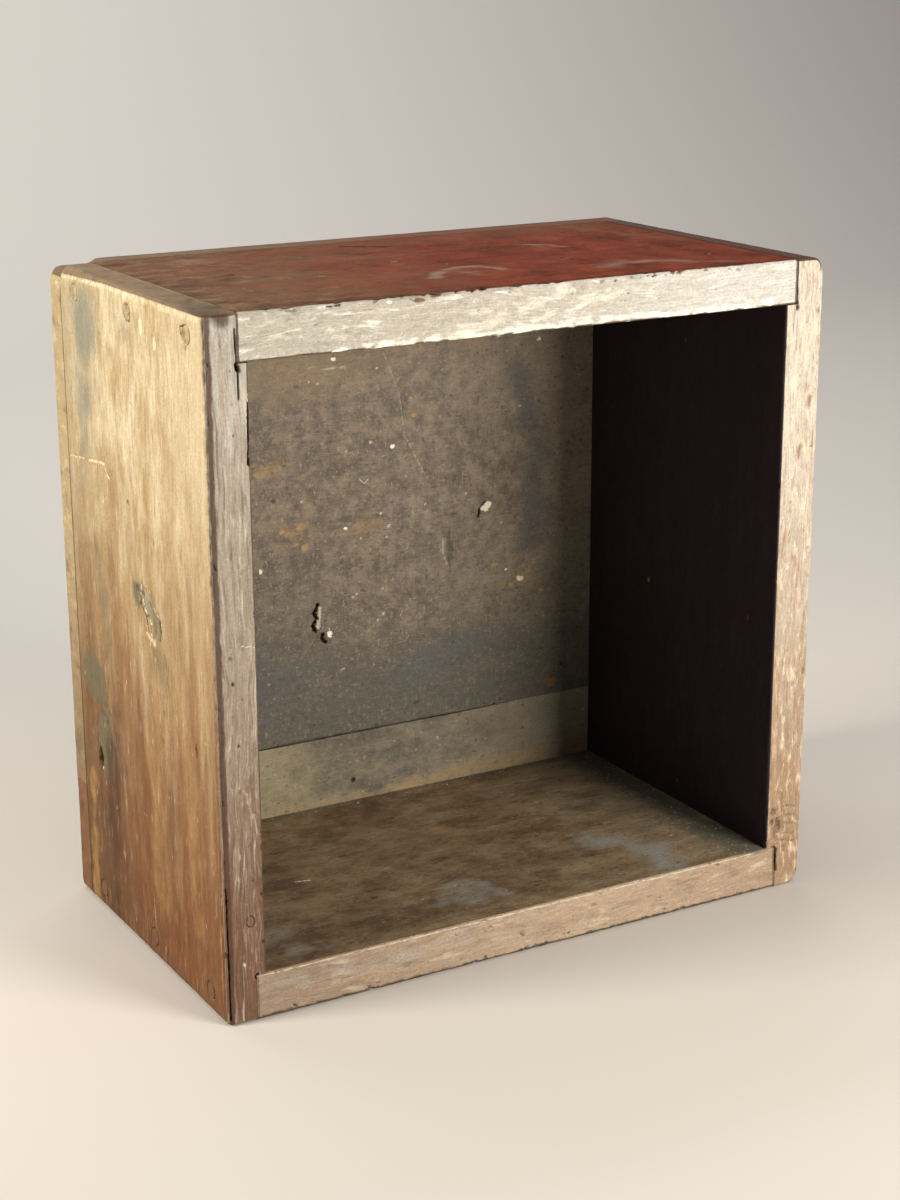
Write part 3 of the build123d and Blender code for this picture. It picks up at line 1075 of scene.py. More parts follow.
board_marks["left_board"] += on(
    "outer",
    nail_pockets(side_nail_places),
    # From its top down
    stain("slate", 294, 137, 36, 30, 1, ragged=0.3),
    stain("slate", 262, 139, 32, 18, 0.75, ragged=0.4),
    stain("slate", 238, 144, 26, 9, 0.6),
    stain("slate", 300, 84, 12, 15, 0.45),
    stain("slate", 303, 22, 10, 12, 0.5),
    dent("pale", 305.2, 67.6, 5.5, 2.6, 1.3, 0.2, fine=None, ragged=0.25, rim=0.8),
    dent("pale", 300.5, 52.4, 5, 2.4, 1.2, 0.2, fine=None, ragged=0.25, rim=0.8),
    crack("grime_and_shade", [(312.8, 20), (312, 23.6), (308, 22.6)], 0.6, 0.9, 0.4, ragged=0.2),
    dent("grime_and_shade", 303.6, 18.3, 1.6, 1, 0.9, 0.4, ragged=0.25),
    crack("pale", [(229.4, 163), (230.6, 154), (231.4, 145)], 0.6, 0.8, 0.3, fine=0.6, ragged=0.9),
    crack("pale", [(232, 138.5), (233.4, 128), (233.8, 119)], 0.9, 1, 0.4, fine=0.6, ragged=0.9),
    crack("pale", [(233, 119), (229, 116), (228, 113.6)], 0.9, 1, 0.4, fine=0.6),
    crack("ochre", [(230.4, 158), (232.2, 140), (231.6, 126)], 1.6, 0.7, 0, fine=0.6),
    dent("grime_and_shade", 221.5, 92, 1.9, 1.2, 1.2, 1.8, fine=0.4, ragged=0.1),
    streak("warm", [(236, 147), (205, 148.5), (165, 146)], 9, 0.55, ragged=0.5),
    # Pale band along the top arris: partly worn wood, partly a painted highlight
    streak("pale", [(316.5, 176), (317.2, 90), (317, 5)], 2.2, 0.65, ragged=0.7),
    dent("knot", 181, 84, 10, 13, 0.85, 0.4, fine=1, rim=0.9),
    dent("slate", 175, 74, 12, 13, 0.75, 0.3, fine=1, ragged=0.6, rim=1),
    dent("knot", 172, 64, 12, 9, 0.6, 0.3, fine=1, ragged=0.7, rim=0.9),
    stain("ochre", 161, 71, 9, 10, 0.5, ragged=0.6),
    crack("grime_and_shade", [(184, 86), (177, 83), (172, 76), (166, 73)], 0.8, 0.9, 0.7),
    crack("grime_and_shade", [(186, 78), (179, 76.5), (175, 79)], 0.6, 0.7, 0.4),
    crack("grime_and_shade", [(176, 62), (169, 59), (165, 61)], 0.8, 0.8, 0.5),
    crack("pale", [(180, 80), (175, 77), (170, 70)], 1, 0.8, 0.4, ragged=1),
    crack("pale", [(178, 67), (173, 59), (168, 57)], 0.7, 0.8, 0.3, ragged=0.9),
    crack("pale", [(164.5, 76), (162.8, 72)], 1.6, 0.75, 0.3, fine=0.6, ragged=1.1),
    crack("pale", [(162.8, 71.5), (161.6, 67)], 2.4, 0.7, 0.3, fine=0.6, ragged=1.1),
    nicks("grime_and_shade", (188, 88), (162, 64), 12, 1.2, 0.5, 318, 0.6, 4),
    nicks("pale", (184, 84), (158, 66), 10, 1.2, 0.3, 319, 0.7, 4),
    stain("knot", 151, 63, 20, 16, 0.52, ragged=0.9),
    ring("grime_and_shade", 151, 63, 14, 10, 2.2, 0.3, ragged=0.8),
    dent("knot", 122.6, 146, 16.5, 20, 1.4, 0.2, fine=None, ragged=0.2, rim=0.65),
    stain("grime_and_shade", 126, 146, 9, 9, 0.3, ragged=0.6),
    ring("grime_and_shade", 125.4, 145.8, 18, 18, 2.6, 0.4, ragged=0.5),
    streak("knot", [(192, 134), (166, 129), (140, 127)], 12, 0.5, ragged=0.8),
    stain("knot", 92, 134, 26, 26, 1),
    ring("grime_and_shade", 95.9, 136.6, 11, 10, 1.6, 0.65, ragged=0.6),
    ring("grime_and_shade", 95.9, 136.6, 18, 16, 1.8, 0.5),
    dent("grime_and_shade", 82.6, 142.6, 4.9, 3.2, 2, 3.5, ragged=0.3, rim=0.4),
    dent("pale", 78.4, 140.6, 2, 1.2, 0.8, 0.3, ragged=0.4),
    stain("warm", 80, 138, 7, 7, 1, rim=0.9),
    streak("rust", [(112, 119), (76, 117)], 12, 0.55),
    streak("slate", [(108, 118), (84, 117)], 7, 0.3),
    streak("ochre", [(68.5, 156.4), (39, 156.3), (4, 155.6)], 9, 0.7),
    streak("ochre", [(112, 72), (60, 74), (30, 70)], 16, 0.42, ragged=0.9),
    streak("ochre", [(130, 34), (84, 31), (40, 30)], 12, 0.45, ragged=0.9),
    streak("grime_and_shade", [(90, 132), (40, 130), (5, 130)], 20, 0.6),
    streak("grime_and_shade", [(92, 55), (20, 52)], 8, 0.38, ragged=0.8),
    streak("ochre", [(200, 3.6), (110, 3.4), (10, 4)], 1.4, 0.6),
    crack("grime_and_shade", [(127, 23.6), (121.6, 23)], 0.9, 1.1, 0.8, ragged=0.2),
    stain("pale", 9.3, 17, 5, 2.2, 0.8, rim=0.9),
    stain("grime_and_shade", 9.4, 82.6, 4.5, 4, 0.9, ragged=0.4, rim=0.8),
    nicks("pale", (316, 30), (20, 120), 10, 1.3, 0.35, 312, 0.45, 26),
    nicks("grime_and_shade", (310, 90), (10, 90), 12, 1, 0.4, 313, 0.55, 34),
)
board_marks["left_board"] += on(
    "front",
    # From its top down
    dent("grime_and_shade", 318, 7, 10, 11, 0.8, 0.4, fine=0.8, ragged=0.4, rim=1),
    crack("grime_and_shade", [(318, 7), (306, 7.6)], 0.7, 0.5, 0.3, ragged=0.5, rim=1),
    crack("grime_and_shade", [(318, 11), (309, 11.4)], 0.6, 0.45, 0.3, ragged=0.5, rim=1),
    dent("grime_and_shade", 296.8, 15.3, 2.6, 1.2, 1.5, 4, fine=0.4, ragged=0.1, turn=-18),
    crack("grime_and_shade", [(313, 14.6), (300, 14.9), (296.4, 15.5), (283.5, 15.4)], 0.35, 1.1, 1.2, fine=0.35,
          ragged=0.1),
    crack("grime_and_shade", [(282.3, 19.6), (268, 19.4), (255.5, 19.1)], 0.6, 1.2, 2.2, fine=0.35, ragged=0.1),
    dent("pale", 283.8, 20.4, 2.4, 1, 1.2, 0.3, ragged=0.25),
    crack("pale", [(176.7, 13.3), (175.5, 20.3)], 0.4, 0.7, 0.2, ragged=0.2),
    crack("pale", [(111.6, 12), (101, 15.4), (93.2, 17.4)], 1.6, 0.45, 0.3, fine=0.6, rim=1),
    dent("grime_and_shade", 160.4, 8.6, 1.6, 0.9, 1, 0.5, ragged=0.25),
    ring("grime_and_shade", 48.8, 13.2, 2.6, 2, 0.5, 1, ragged=0.2, rim=0.6, deep=0.3, fine=0.5),
    dent("grime_and_shade", 21.4, 15.9, 1.9, 1.5, 1.4, 2.5, fine=0.4, ragged=0.1, rim=0.6),
    dent("pale", 28.3, 9.5, 3, 2, 0.8, 0.2, fine=None, ragged=0.25, rim=0.9),
    streak("rust", [(92, 19.5), (60, 18.6), (26, 18)], 4, 0.5),
    crack("grime_and_shade", [(66, 1), (40, 1.2), (20, 1.5), (3, 1.8)], 0.9, 1.2, 1.5, ragged=0.5),
    # The arris between them is dark along its length, and nicked
    streak("rust", [(319, 1.7), (150, 1.9), (2, 2.3)], 2.3, 1.15, ragged=0.12, rim=0.45),
    streak("rust", [(60, 3), (4, 4.6)], 2, 0.5, ragged=0.4),
    nicks("grime_and_shade", (318, 1.2), (4, 1.2), 14, 0.9, 0.7, 314, 0.8, 0.7),
    nicks("grime_and_shade", (300, 20.2), (24, 20.2), 12, 0.8, 0.7, 315, 0.8, 0.6),
    nicks("pale", (310, 11), (12, 11), 8, 0.8, 0.35, 316, 0.4, 4.5),
    nicks("grime_and_shade", (310, 11), (12, 11), 14, 0.8, 0.5, 317, 0.7, 4.5),
)

board_marks["right_board"] += on(
    "outer",
    nail_pockets(side_nail_places),
)
board_marks["right_board"] += on(
    "inner",
    specks("ochre", [(136.9, 108.3, 1.6)]),
    nicks("ochre", (300, 80), (30, 80), 10, 1.1, 0.3, 321, 0.4, 40),
)
board_marks["right_board"] += on(
    "front",
    crack("grime_and_shade", [(311.5, 15.7), (298.7, 15)], 0.4, 1.1, 1, fine=0.4, ragged=0.1),
    dent("grime_and_shade", 297, 15, 2, 1.1, 1.2, 1.6, fine=0.4, ragged=0.1, rim=0.6),
    stain("warm", 251.7, 6, 7, 3.2, 0.9, ragged=0.6, rim=0.9),
    stain("warm", 227.6, 10.2, 6, 3, 0.8, ragged=0.6, rim=0.9),
    streak("ochre", [(133, 20), (90, 19), (48, 17.5)], 1.6, 0.5),
    crack("grime_and_shade", [(21, 14.6), (15, 15.2), (9, 14.4)], 0.6, 1.2, 1.2, fine=0.4, ragged=0.3, rim=0.9),
    [
        crack("grime_and_shade", [(z, 4), (z + 1.4, 10), (z - 0.6, 18)], 1, 0.45, 0.7, fine=0.7, ragged=0.4, rim=1)
        for z in (42, 37, 32.5, 27, 23)
    ],
    nicks("grime_and_shade", (43, 13), (23, 13), 12, 1.8, 1, 322, 0.6, 3.5),
    nicks("grime_and_shade", (312, 1.4), (8, 1.4), 16, 1, 0.9, 323, 0.6, 0.9),
    nicks("grime_and_shade", (298, 22.4), (24, 22.4), 16, 1, 0.9, 324, 0.7, 0.8),
    nicks("pale", (310, 11), (12, 11), 6, 0.8, 0.35, 325, 0.4, 5),
    nicks("grime_and_shade", (310, 11), (12, 11), 14, 0.9, 0.5, 326, 0.6, 5),
)
board_marks["right_board"] += on(
    "outer",
    nicks("pale", (310, 90), (10, 90), 20, 1.4, 0.5, 327, 0.6, 36),
    nicks("grime_and_shade", (310, 90), (10, 90), 20, 1.2, 0.5, 328, 0.8, 36),
    crack("grime_and_shade", [(250, 40), (196, 44)], 0.7, 0.7, 0.4, fine=0.6, ragged=0.2),
    stain("slate", 150, 60, 30, 12, 0.8, ragged=0.6),
    streak("grime_and_shade", [(318, 2), (318, 178)], 9, 1, ragged=0.4, rim=0.9),
)

board_marks["top_board"] += on(
    "outer",
    streak("slate", [(115.2, 36.9), (123, 52), (140.2, 62.3), (150.8, 59.5), (155.4, 47.7)], 6, 0.75,
           ragged=0.5),
    stain("slate", 137, 47, 19, 12, 0.5),
    streak("slate", [(202.5, 112.8), (216, 104.5), (218, 94.9)], 4, 0.7, ragged=0.7),
    streak("slate", [(195, 30), (225, 36), (246, 22)], 9, 0.6),
    streak("slate", [(241.6, 20.9), (262, 12)], 6, 0.5),
    streak("ochre", [(257.6, 159), (270, 120), (280.8, 86)], 10, 0.75, ragged=0.7),
    streak("ochre", [(20, 60), (90, 52), (170, 60)], 5, 0.7, ragged=0.8),
    streak("ochre", [(10, 110), (80, 118), (150, 108)], 6, 0.8, ragged=0.8),
    streak("grime_and_shade", [(125.3, 151.9), (144, 140.3)], 4.5, 0.8),
    dent("grime_and_shade", 41.3, 95.9, 3.4, 2.4, 1.3, 0.5, fine=0.7, ragged=0.25),
    specks("rust", [(11.1, 19.8, 2.2), (63, 31, 1), (182, 74, 1.2)]),
    # Painted shade along the front arris of the top, at its left
    streak("grime_and_shade", [(0, 5), (60, 4), (128, 4)], 8, 0.55, ragged=0.5),
    streak("grime_and_shade", [(120, 3.6), (277, 3)], 4, 0.6, ragged=0.7),
    stain("grime_and_shade", 12, 60, 26, 30, 0.4, ragged=0.8),
    stain("slate", 30, 140, 40, 12, 0.45, ragged=0.7),
    streak("grime_and_shade", [(8, 150), (90, 160)], 6, 0.5, ragged=0.7),
    nicks("grime_and_shade", (4, 3), (150, 3), 30, 1.6, 0.9, 331, 0.85, 1.8),
    nicks("grime_and_shade", (140, 3), (275, 3), 20, 1.3, 0.7, 332, 0.7, 1.5),
    nicks("pale", (10, 85), (270, 85), 18, 1.3, 0.35, 333, 0.4, 40),
    nicks("grime_and_shade", (10, 85), (270, 85), 22, 1.6, 0.45, 334, 0.6, 40),
)
board_marks["top_board"] += on(
    "front",
    dent(None, 31.5, 20.2, 6, 1.7, 1, 0.9, fine=0.6, ragged=0.6, rim=0.6),
    dent("pale", 8.9, 21.6, 2.6, 0.8, 1.2, 0.4, ragged=0.25),
    dent("pale", 47.5, 20.6, 4.5, 1.1, 1.2, 0.3, fine=0.6, ragged=0.4),
    dent("ochre", 86, 2.3, 3.6, 1.9, 1.1, 0.3, fine=0.6, ragged=0.4),
    dent("pale", 71.5, 1.9, 1.8, 1.2, 1.2, 0.6, ragged=0.25),
    dent("grime_and_shade", 43, 0.8, 2.2, 1, 0.8, 0.8, ragged=0.25),
    streak("pale", [(100, 19), (131, 12), (160, 4)], 5, 0.5, ragged=0.9),
    streak("pale", [(128, 19.6), (160, 13), (190, 6)], 4, 0.5, ragged=0.9),
    streak("pale", [(60, 20.4), (180, 19.2), (274, 20.4)], 3.2, 0.75, ragged=0.9),
    nicks("pale", (58, 20.6), (276, 20.6), 26, 0.9, 0.7, 335, 0.9, 0.7),
    nicks("grime_and_shade", (4, 1.5), (274, 1.5), 24, 1.1, 0.8, 336, 0.7, 0.9),
    nicks("grime_and_shade", (6, 10), (272, 10), 16, 0.8, 0.5, 338, 0.6, 5),
)

board_marks["bottom_board"] += on(
    "inner",
    # Inside face, which is the floor
    streak("slate", [(109, 24), (118, 38), (129, 43), (137, 36), (141, 22)], 9, 0.6, ragged=0.5),
    stain("slate", 126, 28, 20, 19, 0.65),
    streak("slate", [(212, 56), (226, 46), (232, 26), (228, 8)], 14, 0.9, ragged=0.4),
    stain("slate", 236, 22, 15, 26, 0.8, ragged=0.4),
    stain("slate", 22, 35, 30, 18, 0.5),
    stain("slate", 26, 14, 26, 11, 0.5),
    dent("ochre", 153, 106.5, 4, 2.4, 1.1, 0.2, fine=None, ragged=0.6),
    crack("pale", [(60, 84), (67, 82)], 0.7, 1.2, 0.3, ragged=0.2),
    streak("warm", [(276, 165), (276, 98.5), (276.4, 47.7), (277, 4)], 22, 1, ragged=0.4),
    streak("warm", [(0, 163), (140, 162), (277, 161)], 5, 0.7, ragged=0.8),
    nicks("pale", (10, 80), (270, 80), 26, 1, 0.3, 341, 0.5, 36),
    nicks("grime_and_shade", (10, 80), (270, 80), 24, 1.8, 0.4, 342, 0.5, 40),
)
board_marks["bottom_board"] += on(
    "front",
    specks("ochre", [(83, 5.5, 1.2), (90.5, 1.9, 1.3), (168, 12, 0.7), (214, 7, 0.8)]),
    # Painted highlight along the upper arris
    streak("pale", [(0, 21.6), (140, 21.4), (277, 21.6)], 1, 0.6),
    streak("slate", [(6, 16), (60, 13), (110, 15)], 5, 0.45, ragged=0.8),
    streak("grime_and_shade", [(150, 9), (205, 12)], 5, 0.35, ragged=0.8),
    # Painted contact shadow along the lower arris, where the board meets the floor
    streak("grime_and_shade", [(0, 0.9), (288, 0.9)], 1.4, 0.9, ragged=0.5, rim=0.7),
    nicks("grime_and_shade", (2, 21), (275, 21), 16, 0.9, 0.7, 343, 0.6, 0.6),
    nicks("grime_and_shade", (2, 1.2), (275, 1.2), 24, 1, 0.9, 344, 0.8, 0.7),
    nicks("pale", (4, 11), (274, 11), 8, 0.8, 0.35, 345, 0.4, 5),
    nicks("grime_and_shade", (4, 11), (274, 11), 18, 0.9, 0.5, 346, 0.6, 5),
)

board_marks["back_wide_board"] += on(
    "outer",
    nail_pockets([(x + half_width, top_nails - wide_back_low) for x in back_nail_columns]),
    nail_pockets([(x + half_width, z - wide_back_low) for x in back_end_columns for z in wide_back_heights]),
)
board_marks["back_wide_board"] += on(
    "inner",
    # Zones of the inside face
    stain("slate", 72, 36, 100, 44, 0.85, ragged=0.3),
    streak("slate", [(249, 185), (262, 145), (262, 123), (258, 90)], 14, 0.6, ragged=0.4),
    stain("slate", 205, 35, 70, 24, 0.55, ragged=0.6),
    stain("warm", 130, 215, 190, 60, 0.6),
    stain("warm", 274.5, 160, 10, 16, 0.9, ragged=0.6),
    stain("warm", 36, 120, 30, 34, 0.6, ragged=0.6),
    # Broken chips with bare wood
    dent("bare", 232.4, 112.8, 4.6, 2.6, 1.1, 0.8, turn=28),
    crack("grime_and_shade", [(227, 107.6), (227.6, 111.4), (231, 115)], 0.8, 1.4, 1.4, fine=0.45, ragged=0.2),
    crack("grime_and_shade", [(209.4, 103), (209.3, 91), (209.3, 80.6)], 1.6, 0.55, 0.3, fine=0.8, ragged=0.2),
    dent("grime_and_shade", 209.3, 91.5, 4.2, 8, 0.5, 0.4, fine=0.8, ragged=0.2, rim=0.6),
    streak("pale", [(205.4, 99), (205, 91), (208.6, 81.4)], 0.5, 0.7, ragged=0.3, rim=0.6),
    crack("grime_and_shade", [(130.6, 73), (128.4, 69), (130, 65.4), (127.4, 62.4), (128.8, 59.4)], 1.1, 1.4, 3,
          fine=0.4, ragged=0.5),
    crack("pale", [(132, 71), (131.6, 66), (130.4, 61)], 1.5, 1.2, 0.7, fine=0.45, ragged=0.6),
    dent("bare", 137.2, 56.6, 2, 2.6, 1.2, 0.6, fine=0.45, ragged=0.6),
    crack("grime_and_shade", [(133, 57), (132.6, 54), (134.6, 52.4)], 1, 1.4, 2.4, fine=0.4, ragged=0.4),
    # Scratches
    crack("pale", [(170.7, 202.7), (179.6, 180), (182.9, 157.1), (188.7, 145.8), (196.3, 131.5)], 0.4, 0.8,
          0.3, rim=0.9),
    crack("pale", [(218.8, 171.7), (220.5, 144.7)], 0.4, 0.6, 0.3, rim=0.9),
    crack("pale", [(156, 137), (159, 134.4), (161, 136.2)], 0.5, 1.1, 0.2, ragged=0.2),
    streak("pale", [(137, 196.4), (149, 195.6)], 1, 0.7, ragged=0.7, rim=0.6),
    ring("pale", 131, 189.8, 8, 8, 0.8, 0.45, rim=0.6),
    # Specks
    specks("bare", [(142.7, 200.8, 1.7), (98.9, 95.6, 1.3), (175.8, 152.1, 1.5), (147.7, 111.6, 1.3),
           (253, 69.6, 2.2), (264.7, 199.6, 1.6), (238.8, 204.7, 1.5), (244, 76, 1)]),
    specks("pale", [(128.4, 190.5, 0.9), (133.4, 189, 0.9), (167.1, 193.8, 0.9), (163, 155.7, 1),
           (148.5, 152.2, 1), (122.9, 129.2, 1), (156.3, 105.6, 0.9), (205.1, 189.5, 0.9),
           (212.3, 194.6, 0.8), (252.5, 164.9, 1), (195, 118.7, 0.9), (240.9, 102.2, 0.9),
           (219.3, 121.5, 0.9), (168.8, 76.7, 1), (151, 74.4, 0.9), (153.4, 75.7, 0.8), (169.2, 62.9, 1),
           (165.6, 59.6, 0.8), (179.3, 60.2, 0.9), (101.5, 34.6, 1), (168.2, 117.4, 1.1),
           (172.8, 109.8, 1.1), (171.6, 104, 1)]),
    specks("ochre", [(186.6, 176.2, 1.3), (188.3, 167, 1.4), (98.3, 146.3, 1.8), (111.6, 147.8, 1.6),
           (111.3, 115, 2.4), (121.4, 116.2, 1.8), (124.6, 105.2, 2.2), (237.2, 79.3, 1.8),
           (265.9, 60.9, 1.6), (247, 67, 1.8), (258, 73, 2)]),
    stain("ochre", 108, 147, 20, 8, 0.55, ragged=0.9),
    stain("ochre", 116, 111, 17, 10, 0.6, ragged=0.9),
    stain("ochre", 252, 70, 20, 9, 0.6, ragged=0.9),
    stain("ochre", 160, 112, 16, 12, 0.4, ragged=0.9),
    stain("ochre", 187, 172, 7, 12, 0.55, ragged=0.9),
    stain("rust", 274.9, 6.2, 6, 6, 1, ragged=0.7, rim=0.9),
    specks("grime_and_shade", [(280, 15.9, 1.2)], deep=0.6),
    nicks("pale", (24, 110), (294, 110), 36, 0.8, 0.25, 351, 0.7, 52),
    nicks("grime_and_shade", (24, 110), (294, 110), 30, 1.2, 0.4, 352, 0.6, 56),
    # Seam with the narrow board, dark and ragged
    streak("grime_and_shade", [(70, 0.4), (200, 0.3)], 0.8, 0.6, ragged=0.9),
    nicks("grime_and_shade", (60, 0.8), (250, 0.8), 9, 1, 0.8, 353, 0.7, 0.6),
)
board_marks["back_wide_board"] += on(
    "outer",
    nicks("pale", (10, 130), (310, 130), 24, 1.4, 0.5, 354, 0.6, 70),
    nicks("grime_and_shade", (10, 130), (310, 130), 24, 1.6, 0.5, 355, 0.7, 70),
)

board_marks["back_narrow_board"] += on(
    "outer",
    nail_pockets([(x + half_width, bottom_nails) for x in back_nail_columns]),
    nail_pockets([(x + half_width, narrow_back_height) for x in back_end_columns]),
)
board_marks["back_narrow_board"] += on(
    "inner",
    dent("grime_and_shade", 149.1, 33.5, 1.5, 1.5, 1.4, 1.5, ragged=0.25, rim=0.6),
    specks("ochre", [(152, 44, 1.2), (156.5, 45.2, 1.4)]),
    specks("pale", [(295, 47.4, 1), (84, 41, 0.8), (201, 48, 0.8)]),
    streak("ochre", [(175, 23), (235, 25), (296, 28)], 11, 0.75, ragged=0.4),
    streak("ochre", [(16, 25), (120, 24), (200, 23)], 7, 0.6),
    stain("warm", 56, 36, 54, 26, 0.9, ragged=0.4),
    nicks("pale", (22, 42), (294, 42), 20, 0.8, 0.3, 361, 0.5, 8),
    nicks("grime_and_shade", (22, 42), (294, 42), 16, 1, 0.3, 362, 0.45, 9),
)
